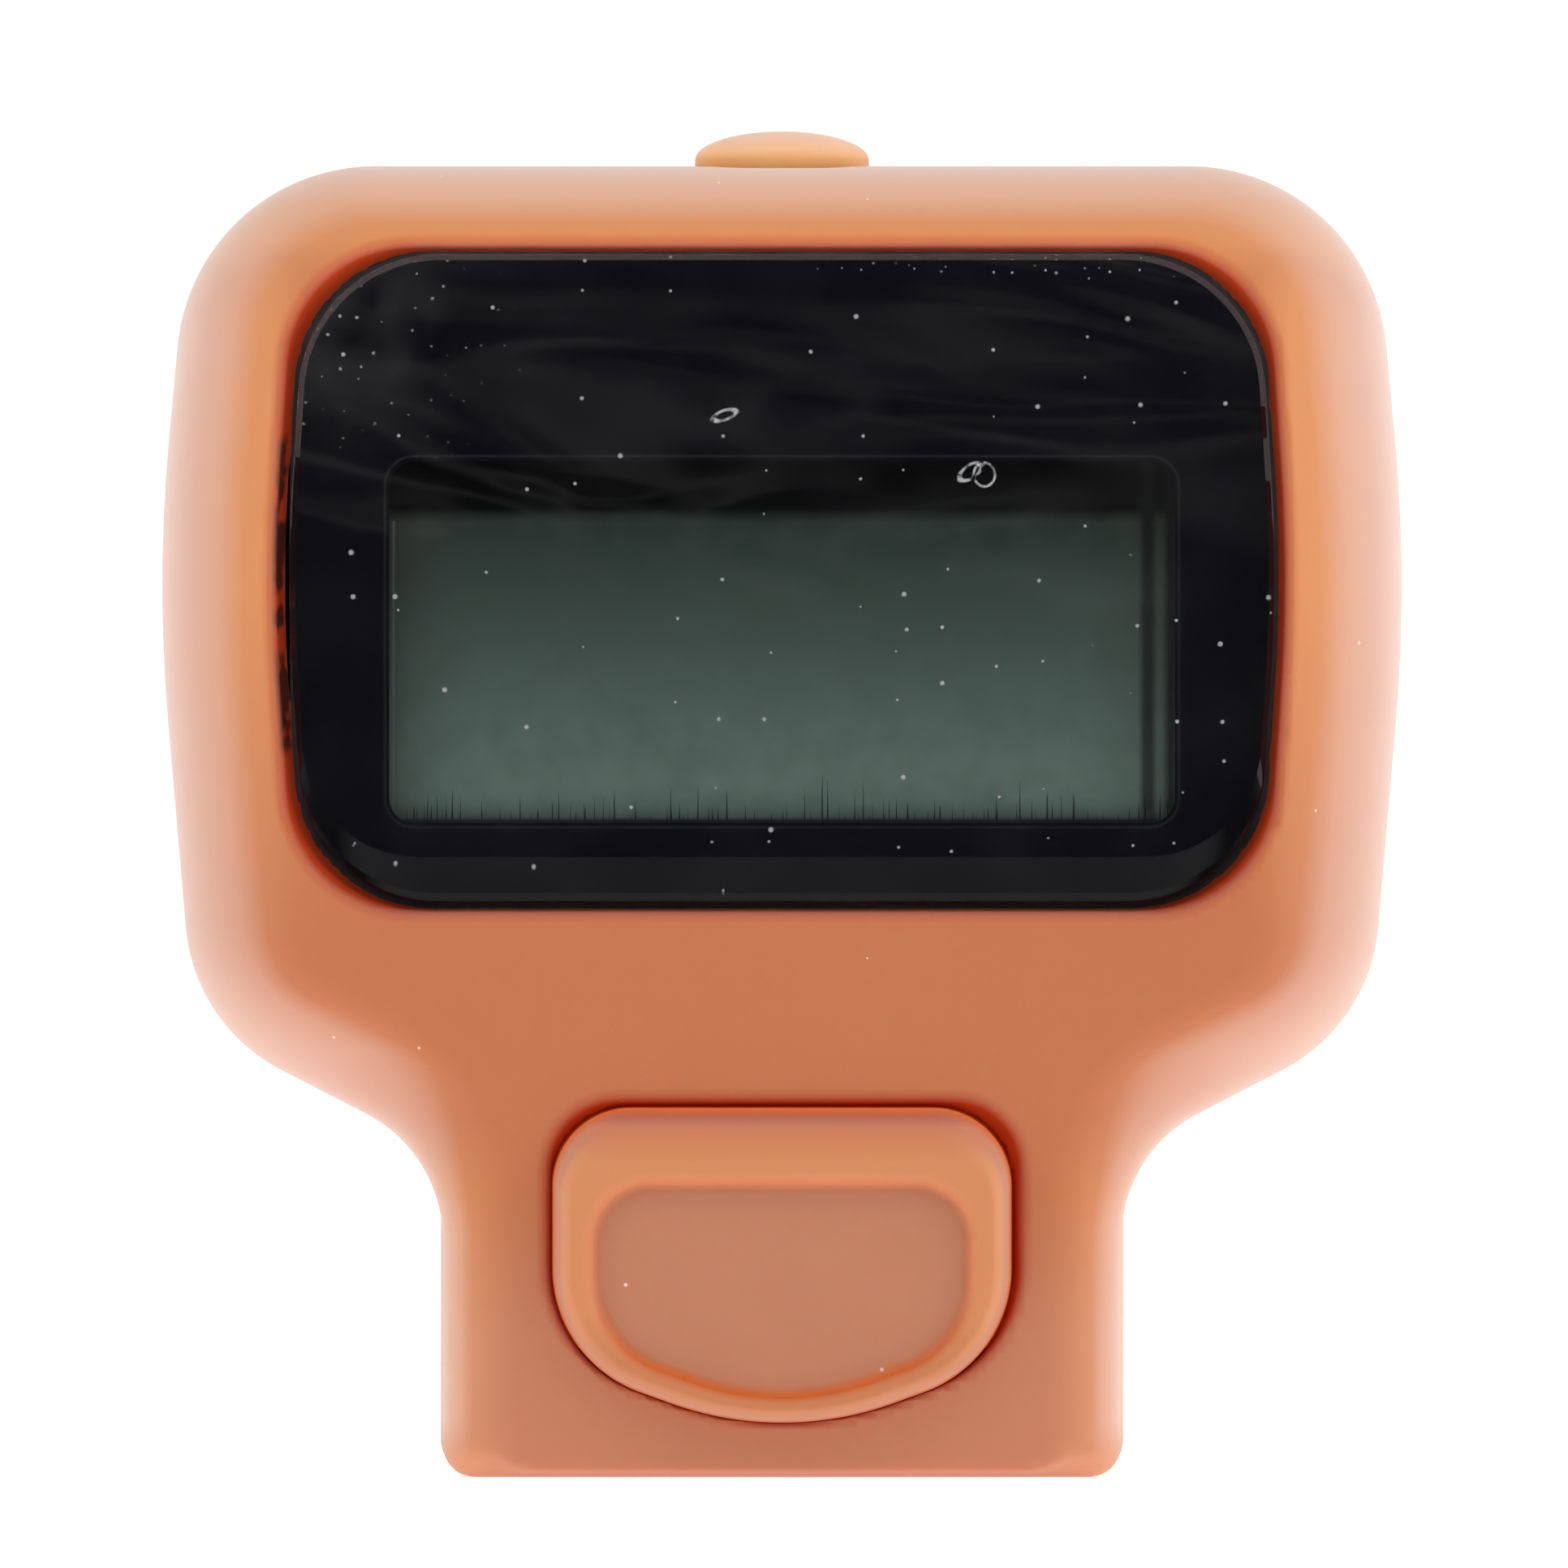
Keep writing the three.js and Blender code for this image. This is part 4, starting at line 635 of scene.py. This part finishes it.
def nub_shape(x, y, z):
    across, along = np.abs(x) / NUB_HALF, np.abs(y - NUB_DEPTH) / NUB_ROUND
    out = (across ** NUB_SQUARENESS + along ** NUB_SQUARENESS) ** (1 / NUB_SQUARENESS)
    dome = (np.hypot(out, np.maximum(z - NUB_WALL_TOP, 0) / (NUB_TOP - NUB_WALL_TOP)) - 1) * NUB_ROUND
    flange = eased(nub_outline(x, y, NUB_FLANGE), z - NUB_LOW - 0.6, 0.1)
    return np.maximum(np.minimum(dome, flange), NUB_LOW - z)


nub = moulded("reset_nub_cap", nub_shape, (-3.3, 2.4, 33.8), (3.3, 7.1, 38.1), 0.12)
bright = Finish("salmon_nub_painted_light")
# Painted light: the dome is painted lighter than the key's salmon for the light it catches, and its foot a
# brighter orange for a painted glow
crown = bright.mix(bright.noise(3, 3), srgb(234, 176, 134), srgb(238, 182, 140))
nub.data.materials.append(bright.done(bright.shade(
    Base_Color=bright.mix(bright.ramp(bright.along("Z"), 37.6, 37.0), crown, srgb(255, 192, 118)),
    Roughness=0.44 + 0.1 * bright.noise(1.1), IOR=1.45,
    Subsurface_Weight=0.3, Subsurface_Radius=(1.0, 0.4, 0.2), Subsurface_Scale=0.8 * MM,
    Sheen_Weight=0.6, Sheen_Roughness=0.6, Sheen_Tint=(1.0, 0.96, 0.95, 1.0),
    Normal=bright.bump(bright.noise(0.08), 0.2, 0.008))))
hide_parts("reset_button")
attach(nub, "reset_nub")

# Window lens
# The window lens: a plate of clear acrylic with bowed sides, its edges bevelled and the lower one eased
# further in. It is glued in its seat, so it stands a little proud of the case inside the sleeve's window.
LENS_FRONT, LENS_BACK, LENS_BEVEL_DEPTH = 0.3, 1.63, 0.25
BEVEL = [(1.0, 0.0), (0.25, 0.55), (0.08, 0.78), (0.0, 1.1)]


def ringed(name, loops, depths):
    """A closed solid through loops of as many points each, from front to back, capped flat at both ends."""
    mesh = bpy.data.meshes.new(name)
    count = len(loops[0])
    points = [(x * MM, (FACE + y) * MM, z * MM) for loop, y in zip(loops, depths) for x, z in loop]
    faces = [tuple(range(count)), tuple(range(len(points) - 1, len(points) - count - 1, -1))]
    for k in range(len(loops) - 1):
        for i in range(count):
            j = (i + 1) % count
            faces.append((k * count + i, (k + 1) * count + i, (k + 1) * count + j, k * count + j))
    mesh.from_pydata(points, [], faces)
    piece = bpy.data.objects.new(name, mesh)
    scene.collection.objects.link(piece)
    return piece


def lens_walls(bottom, side, top):
    return [side, side, top, side, side, bottom]


lens_loops = [rounded(drawn_in(lens_corners, [wall * share for wall in lens_walls(1.35, 0.17, 0.17)]), 32)
              for share, _ in BEVEL]
lens_depths = [LENS_FRONT + LENS_BEVEL_DEPTH * share for _, share in BEVEL]
lens = ringed("window_lens", lens_loops + [lens_loops[-1]], lens_depths + [LENS_BACK])
lens.data.shade_smooth()
lens.data.set_sharp_from_angle(angle=math.radians(6))
acrylic = Finish("clear_acrylic")


def lint(finish, place, size, lean):
    """A curl of lint: the outline of an ellipse of that half width and height, leaning by degrees."""
    turn = math.radians(lean)
    right, up = finish.along("X") - place[0], finish.along("Z") - place[1]
    long = (right * math.cos(turn) + up * math.sin(turn)) / size[0]
    short = (up * math.cos(turn) - right * math.sin(turn)) / size[1]
    away = (long * long + short * short) ** 0.5
    return finish.ramp(abs(away - 1) * size[1], 0.05, 0.02) * finish.ramp(finish.noise(0.22, 3), 0.44, 0.58)


clear = acrylic.shade(
    Base_Color=acrylic.mix(acrylic.noise(6), (0.93, 0.93, 0.94, 1), (0.95, 0.95, 0.96, 1)),
    Roughness=0.0, IOR=1.4, Transmission_Weight=1.0,
    Normal=acrylic.bump(acrylic.noise(15, 1, (1, 1, 2.4), 4, 1.5), 0.1, 0.1))
corner = acrylic.ramp(acrylic.along("X"), -7, -12) * acrylic.ramp(acrylic.along("Z"), 28, 33)
dust = acrylic.specks(1.3, 0.075, 2, 0.3, True) + acrylic.specks(0.5, 0.05, 7, 0.5, True) * corner
top_edge = acrylic.ramp(abs(acrylic.along("Z") - 34.1 + 0.02 * acrylic.along("X")), 0.14, 0.08)
scuffs = acrylic.specks(0.3, 0.05, 11, 0.6, True) * top_edge * acrylic.ramp(acrylic.along("X"), 0, 3)
curls = lint(acrylic, (-1.62, 29.87), (0.33, 0.13), 20)
curls = curls + lint(acrylic, (5.69, 28.2), (0.3, 0.33), 0) + lint(acrylic, (5.3, 28.28), (0.36, 0.18), 35)
haze = acrylic.ramp(acrylic.noise(2.5, 5), 0.45, 0.75) * (0.004 + 0.03 * corner)
soiled = acrylic.node("Clamp", {}, {"Value": dust * 0.36 + scuffs * 0.4 + curls * 0.5 + haze})
lint_white = acrylic.shade(
    Base_Color=acrylic.mix(acrylic.noise(0.1), (0.55, 0.56, 0.58, 1), (0.75, 0.76, 0.78, 1)), Roughness=0.9)
lens.data.materials.append(acrylic.done(acrylic.node(
    "MixShader", {}, {0: soiled, 1: clear, 2: lint_white}, out="Shader")))
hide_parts("display_lens")
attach(lens, "case")

# Black border film
# The black film behind the lens that hides the case and frames the clear window. It is die cut, so the
# window's edge shows as a hair of grey.
VIEW_HALF, VIEW_LOW, VIEW_HIGH, VIEW_CORNER = 11.05, 18.4, 28.6, 0.7


def finished(node, material):
    """A CAD node that keeps its shape and gets a finish."""
    piece = bpy.data.objects[node]
    piece.data.materials.clear()
    piece.data.materials.append(material)


def window_edge(finish):
    """Distance from the edge of the clear window in the film, less than zero in the clear part."""
    right = abs(finish.along("X")) - (VIEW_HALF - VIEW_CORNER)
    up = abs(finish.along("Z") - (VIEW_LOW + VIEW_HIGH) / 2) - ((VIEW_HIGH - VIEW_LOW) / 2 - VIEW_CORNER)
    outside = finish.node("VectorMath", {"operation": "MAXIMUM"}, {
        0: finish.node("CombineXYZ", {}, {"X": right, "Y": up}), 1: (0.0, 0.0, 0.0)})
    return finish.node("VectorMath", {"operation": "LENGTH"}, {0: outside}, out="Value") - VIEW_CORNER


film = Finish("black_border_film")
cut_edge = film.ramp(abs(window_edge(film) - 0.12), 0.06, 0.0)
ink = film.mix(film.noise(4), (0.003, 0.003, 0.0065, 1), (0.004, 0.004, 0.008, 1))
finished("lens_mask", film.done(film.shade(
    Base_Color=film.mix(cut_edge * 0.5, ink, (0.05, 0.055, 0.06, 1)),
    Roughness=0.35 + 0.15 * film.noise(2), Specular_IOR_Level=0.04)))

# Liquid crystal display
# The display: two panes of glass between two polarisers. With nothing switched on it shows the grey-green of
# its reflector with painted light and shade on it, and the front film's cut lower edge is frayed.
lcd = Finish("display_polariser")
x, z = lcd.along("X"), lcd.along("Z")
# Painted shade: darker towards the top, with a painted shadow band under the top edge
down = lcd.ramp(z, VIEW_HIGH - 1.5, VIEW_LOW)
ends = lcd.ramp(abs(x), 8.5, 11.5)
tone = lcd.mix(down ** 1.3, (0.042, 0.062, 0.054, 1), (0.255, 0.375, 0.325, 1))
tone = lcd.mix(ends * 0.45, tone, (0.075, 0.072, 0.06, 1))
tone = lcd.mix(lcd.ramp(lcd.noise(1.1, 5), 0.4, 0.7, 0.0, 0.25), tone, (0.09, 0.12, 0.10, 1))
tone = lcd.mix(lcd.ramp(z, VIEW_HIGH - 1.75, VIEW_HIGH - 1.35), tone, (0.004, 0.004, 0.005, 1))
# Painted shadow: two dark lines near the right end
painted_shadow_lines = lcd.ramp(abs(x - 10.3), 0.28, 0.10) + lcd.ramp(abs(x - 10.95), 0.25, 0.05)
tone = lcd.mix(lcd.node("Clamp", {}, {"Value": painted_shadow_lines}) * 0.75, tone, (0.012, 0.014, 0.015, 1))
streak = lcd.node("TexNoise", {"noise_dimensions": "1D"}, {"W": x, "Scale": 12.0, "Detail": 2.0}, out="Fac")
grade = lcd.node("TexNoise", {"noise_dimensions": "1D"}, {"W": x, "Scale": 0.6, "Detail": 1.0}, out="Fac")
frequent = lcd.node("Clamp", {}, {"Value": 1.6 * grade - 0.3})
tall = 9.0 * lcd.node("Clamp", {}, {"Value": streak - 0.60}) * frequent
frayed = lcd.ramp(z - VIEW_LOW - 0.06 - tall, 0.12, 0.0)
# Painted light: lighter along the bottom edge
tone = lcd.mix(lcd.ramp(z - VIEW_LOW, 0.45, 0.1) * 0.4, tone, (0.23, 0.24, 0.23, 1))
tone = lcd.mix(frayed * 0.8, tone, (0.012, 0.016, 0.014, 1))
glint = lcd.ramp(abs(x + VIEW_HALF - 0.12), 0.05, 0.0) * (z < VIEW_HIGH - 1.7)
tone = lcd.mix(glint * 0.6, tone, (0.25, 0.27, 0.26, 1))
finished("front_polariser", lcd.done(lcd.shade(Base_Color=tone, Roughness=0.6, Specular_IOR_Level=0.0)))

# Display glass, reflector and connector strip
# Behind the front film come two panes of glass, the grey reflector film, and the striped rubber strip that
# joins the lower ledge of the glass to the board. The case's fence holds them.
glass = Finish("display_glass")
finished("lcd_front_glass", glass.done(glass.shade(
    Base_Color=glass.mix(glass.noise(8), (0.80, 0.90, 0.86, 1), (0.84, 0.93, 0.89, 1)),
    Roughness=0.05 + 0.03 * glass.noise(3), IOR=1.52, Transmission_Weight=1.0)))
finished("lcd_rear_glass", glass.material)
reflector = Finish("reflector_film")
finished("rear_polariser", reflector.done(reflector.shade(
    Base_Color=reflector.mix(reflector.noise(0.15), (0.30, 0.33, 0.31, 1), (0.36, 0.39, 0.37, 1)),
    Roughness=0.55, Metallic=0.2 + 0.2 * reflector.noise(0.2))))
rubber = Finish("striped_elastomer")
stripe = rubber.node("Math", {"operation": "SINE"}, {0: rubber.along("X") * 31.0}) > 0
finished("zebra_strip", rubber.done(rubber.shade(
    Base_Color=rubber.mix(stripe, (0.62, 0.60, 0.55, 1), (0.03, 0.03, 0.03, 1)),
    Roughness=0.7 + 0.1 * rubber.noise(0.4))))

# Hard case
# The two halves of the hard case, moulded in black plastic with a fine sparked grain. The front one carries
# the lens and the display, the rear one the cell, and each is drawn from its solid with its edges broken.
GRAIN = 0.12


def softened(name, node, width, segments=2):
    """A copy of a solid with its flats made whole and its sharp edges rounded."""
    source = bmesh.new()
    source.from_mesh(bpy.data.objects[node].data)
    bmesh.ops.remove_doubles(source, verts=source.verts, dist=0.0005 * MM)
    bmesh.ops.dissolve_limit(source, angle_limit=math.radians(0.5), verts=source.verts, edges=source.edges)
    mesh = bpy.data.meshes.new(name)
    source.to_mesh(mesh)
    source.free()
    mesh.materials.clear()
    rough = bpy.data.objects.new(name + "_rough", mesh)
    scene.collection.objects.link(rough)
    bevel = rough.modifiers.new("edges", "BEVEL")
    bevel.width, bevel.segments = width * MM, segments
    bevel.limit_method, bevel.angle_limit = "ANGLE", math.radians(40)
    made = bpy.data.meshes.new_from_object(rough.evaluated_get(bpy.context.evaluated_depsgraph_get()))
    made.name = name
    bpy.data.objects.remove(rough)
    made.shade_smooth()
    made.set_sharp_from_angle(angle=math.radians(32))
    piece = bpy.data.objects.new(name, made)
    scene.collection.objects.link(piece)
    return piece


def carried(piece, node, body, material):
    piece.data.materials.append(material)
    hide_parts(node)
    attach(piece, body)


black = Finish("black_moulded_plastic")
round_key = black.ramp(abs(black.along("X")), 7.6, 7.0) * black.ramp(black.along("Z"), 11.6, 11.0)
# Painted light: the black case round the key opening is painted red for the light coming through the
# silicone
painted_red_light = round_key * black.ramp(black.along("Y") - FACE, 2.2, 1.8)
scuff = black.ramp(black.noise(2.5, 5, (1, 1, 3), 2), 0.60, 0.75)
dark = black.mix(black.noise(6, 3), (0.016, 0.016, 0.018, 1), (0.024, 0.023, 0.025, 1))
dark = black.mix(scuff * 0.35, dark, (0.07, 0.07, 0.07, 1))
black.done(black.shade(
    Base_Color=black.mix(painted_red_light, dark, (0.8, 0.12, 0.02, 1)),
    Roughness=0.42 + 0.2 * black.noise(1.3), Normal=black.bump(black.noise(GRAIN, 3), 0.35, 0.02)))
carried(softened("case_front", "front_frame", 0.08), "front_frame", "case", black.material)
carried(softened("case_back", "rear_cover", 0.1), "rear_cover", "case", black.material)

# Battery door
# The round battery door turns on two lugs under the rear cover. It is the case's black plastic, with a coin
# slot across it and the fine rings of a turned mould.
DOOR_MIDDLE = 22.8
door_finish = Finish("black_turned_plastic")
across = door_finish.along("X")
up = door_finish.along("Z") - DOOR_MIDDLE
radius = (across * across + up * up) ** 0.5
rings = door_finish.node("Math", {"operation": "SINE"}, {0: radius * 26.0})
door_finish.done(door_finish.shade(
    Base_Color=door_finish.mix(door_finish.noise(5, 3), (0.018, 0.018, 0.020, 1), (0.028, 0.027, 0.029, 1)),
    Roughness=0.36 + 0.16 * door_finish.noise(1.1),
    Normal=door_finish.bump(rings * 0.5 + door_finish.noise(0.1, 3), 0.3, 0.015)))
cell_door = softened("cell_door", "battery_door", 0.12)
carried(cell_door, "battery_door", "door", door_finish.material)

# Case screws
# Four small pan-head screws hold the halves together, zinc plated, in counterbores at the corners.
zinc = Finish("zinc_plated_steel")
zinc.done(zinc.shade(
    Base_Color=zinc.mix(zinc.noise(0.7, 4), (0.52, 0.53, 0.55, 1), (0.66, 0.66, 0.66, 1)),
    Metallic=1.0, Roughness=0.22 + 0.2 * zinc.noise(0.35, 4)))
SCREW_HEAD, SCREW_HEAD_FRONT, SCREW_HEAD_BACK = 1.15, 10.0, 10.6
SCREW_FLAT_SHARE, SCREW_CROWN = 0.72, 0.35
SCREW_SHANK, SCREW_TIP, TIP_LENGTH, TIP_SHARE = 0.7, 3.12, 1.2, 0.4
CROSS_LENGTH, CROSS_WIDTH, CROSS_DEPTH = 1.5, 0.3, 0.35
TURN_BY_HEIGHT = 47.0


def screw_shape(x, y, z):
    away = np.hypot(x, z)
    head = swelling(away - SCREW_FLAT_SHARE * SCREW_HEAD, away - SCREW_HEAD,
                    y - SCREW_HEAD_BACK + SCREW_CROWN, SCREW_CROWN)
    head = eased(head, SCREW_HEAD_FRONT - y, 0.05)
    sink = np.clip((y - SCREW_HEAD_BACK + CROSS_DEPTH) / CROSS_DEPTH, 0, 1)
    arms = [np.maximum(np.abs(a) - CROSS_LENGTH / 2 * (0.45 + 0.55 * sink), np.abs(b) - CROSS_WIDTH / 2)
            for a, b in ((x, z), (z, x))]
    head = eased(head, -np.maximum(np.minimum(*arms), SCREW_HEAD_BACK - CROSS_DEPTH - y), 0.04)
    taper = SCREW_SHANK * np.clip(TIP_SHARE + 0.6 * (y - SCREW_TIP) / TIP_LENGTH, TIP_SHARE, 1)
    shank = np.maximum(away - taper, np.maximum(SCREW_TIP - y, y - SCREW_HEAD_FRONT - 0.1))
    return np.minimum(head, shank)


one_screw = moulded("one_screw", screw_shape, (-1.3, 3.0, -1.3), (1.3, 10.8, 1.3), 0.085)
one_screw.data.materials.append(zinc.material)


class Tree:
    """A Geometry Nodes tree with named inputs, made on a piece and turned into its plain mesh."""

    def __init__(self, name, sizes):
        self.tree = bpy.data.node_groups.new(name, "GeometryNodeTree")
        self.tree.interface.new_socket("Geometry", in_out="INPUT", socket_type="NodeSocketGeometry")
        self.sizes = {}
        for size, value in sizes.items():
            made = self.tree.interface.new_socket(size, in_out="INPUT", socket_type="NodeSocketFloat")
            self.sizes[made.identifier] = value
        self.tree.interface.new_socket("Geometry", in_out="OUTPUT", socket_type="NodeSocketGeometry")
        self.inputs = self.tree.nodes.new("NodeGroupInput")

    def node(self, kind, settings=(), sockets=()):
        made = self.tree.nodes.new(kind)
        for name, value in dict(settings).items():
            setattr(made, name, value)
        for name, value in dict(sockets).items():
            if isinstance(value, bpy.types.NodeSocket):
                self.tree.links.new(value, made.inputs[name])
            else:
                made.inputs[name].default_value = value
        return made.outputs[0]

    def made_on(self, piece, name, geometry):
        end = self.tree.nodes.new("NodeGroupOutput")
        self.tree.links.new(geometry, end.inputs[0])
        modifier = piece.modifiers.new("made", "NODES")
        modifier.node_group = self.tree
        for identifier, value in self.sizes.items():
            modifier[identifier] = value
        mesh = bpy.data.meshes.new_from_object(piece.evaluated_get(bpy.context.evaluated_depsgraph_get()))
        mesh.name = name
        bpy.data.objects.remove(piece)
        made = bpy.data.objects.new(name, mesh)
        scene.collection.objects.link(made)
        return made


layout = Tree("four_screws", {"Top half width": 10.6 * MM, "Top height": 32.2 * MM,
                              "Lower half width": 8.6 * MM, "Lower height": 13.9 * MM})
size = layout.inputs.outputs
copies = []
for width, height in (("Top half width", "Top height"), ("Lower half width", "Lower height")):
    for side in (-1.0, 1.0):
        across = layout.node("ShaderNodeMath", {"operation": "MULTIPLY"}, {0: size[width], 1: side})
        place = layout.node("ShaderNodeCombineXYZ", {}, {"X": across, "Z": size[height]})
        turn = layout.node("ShaderNodeMath", {"operation": "MULTIPLY"}, {
            0: size[height], 1: TURN_BY_HEIGHT * side / MM})
        turn = layout.node("ShaderNodeCombineXYZ", {}, {"Y": turn})
        copies.append(layout.node("GeometryNodeTransform", {}, {
            "Geometry": size["Geometry"], "Translation": place, "Rotation": turn}))
joined = layout.tree.nodes.new("GeometryNodeJoinGeometry")
for copy in copies:
    layout.tree.links.new(copy, joined.inputs[0])
whole = layout.node("GeometryNodeRealizeInstances", {}, {0: joined.outputs[0]})
whole = layout.node("GeometryNodeSetMaterial", {}, {"Geometry": whole, "Material": zinc.material})
screws = layout.made_on(one_screw, "pan_screws", whole)
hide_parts("case_screw_1", "case_screw_2", "case_screw_3", "case_screw_4")
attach(screws, "case")

# Circuit board and what is soldered to it
# A green board stands behind the display, with the chip under a black blob, a watch crystal, two capacitors
# and a resistor.
board = Finish("green_board")
track = board.noise(1.6, 1, (1, 1, 4), 7)
copper = board.ramp(abs(track - 0.5), 0.03, 0.02)
lacquer = board.mix(board.noise(3), (0.010, 0.085, 0.035, 1), (0.014, 0.105, 0.045, 1))
finished("circuit_board", board.done(board.shade(
    Base_Color=board.mix(copper * 0.6, lacquer, (0.05, 0.22, 0.07, 1)),
    Roughness=0.32 + 0.1 * board.noise(1), Normal=board.bump(copper, 0.4, 0.02))))
epoxy = Finish("black_epoxy")
finished("chip_blob", epoxy.done(epoxy.shade(
    Base_Color=epoxy.mix(epoxy.noise(1), (0.010, 0.010, 0.011, 1), (0.017, 0.016, 0.016, 1)),
    Roughness=0.18 + 0.15 * epoxy.noise(0.8, 3))))
finished("pull_up_resistor", epoxy.material)
ceramic = Finish("tan_ceramic")
finished("capacitor_left", ceramic.done(ceramic.shade(
    Base_Color=ceramic.mix(ceramic.noise(0.3), (0.30, 0.20, 0.12, 1), (0.38, 0.27, 0.16, 1)),
    Roughness=0.5 + 0.1 * ceramic.noise(0.2))))
finished("capacitor_right", ceramic.material)
finished("clock_crystal", zinc.material)

# Switches
# Two small tact switches: black bodies soldered to the board, and pale nylon plungers that the key and nub
# press.
switch = Finish("black_switch_plastic")
finished("count_switch_body", switch.done(switch.shade(
    Base_Color=switch.mix(switch.noise(1), (0.015, 0.015, 0.016, 1), (0.025, 0.025, 0.026, 1)),
    Roughness=0.4 + 0.15 * switch.noise(0.6))))
finished("reset_switch_body", switch.material)
nylon = Finish("natural_nylon")
finished("count_switch_plunger", nylon.done(nylon.shade(
    Base_Color=nylon.mix(nylon.noise(1), (0.66, 0.68, 0.67, 1), (0.74, 0.75, 0.73, 1)),
    Roughness=0.4 + 0.1 * nylon.noise(0.5))))
finished("reset_switch_plunger", nylon.material)
finished("cell_gasket", nylon.material)

# Button cell and its contacts
# The button cell lies in the rear cover's holder: a nickel can crimped over a nylon gasket on the cap. Two
# sprung strips of plated steel reach it from the board.
nickel = Finish("nickel_plate")
finished("cell_can", nickel.done(nickel.shade(
    Base_Color=nickel.mix(nickel.noise(2, 4), (0.60, 0.58, 0.54, 1), (0.70, 0.68, 0.64, 1)),
    Metallic=1.0, Roughness=0.25 + 0.12 * nickel.noise(0.5, 4))))
for node in ("cell_cap", "battery_positive_contact", "battery_negative_contact"):
    finished(node, nickel.material)
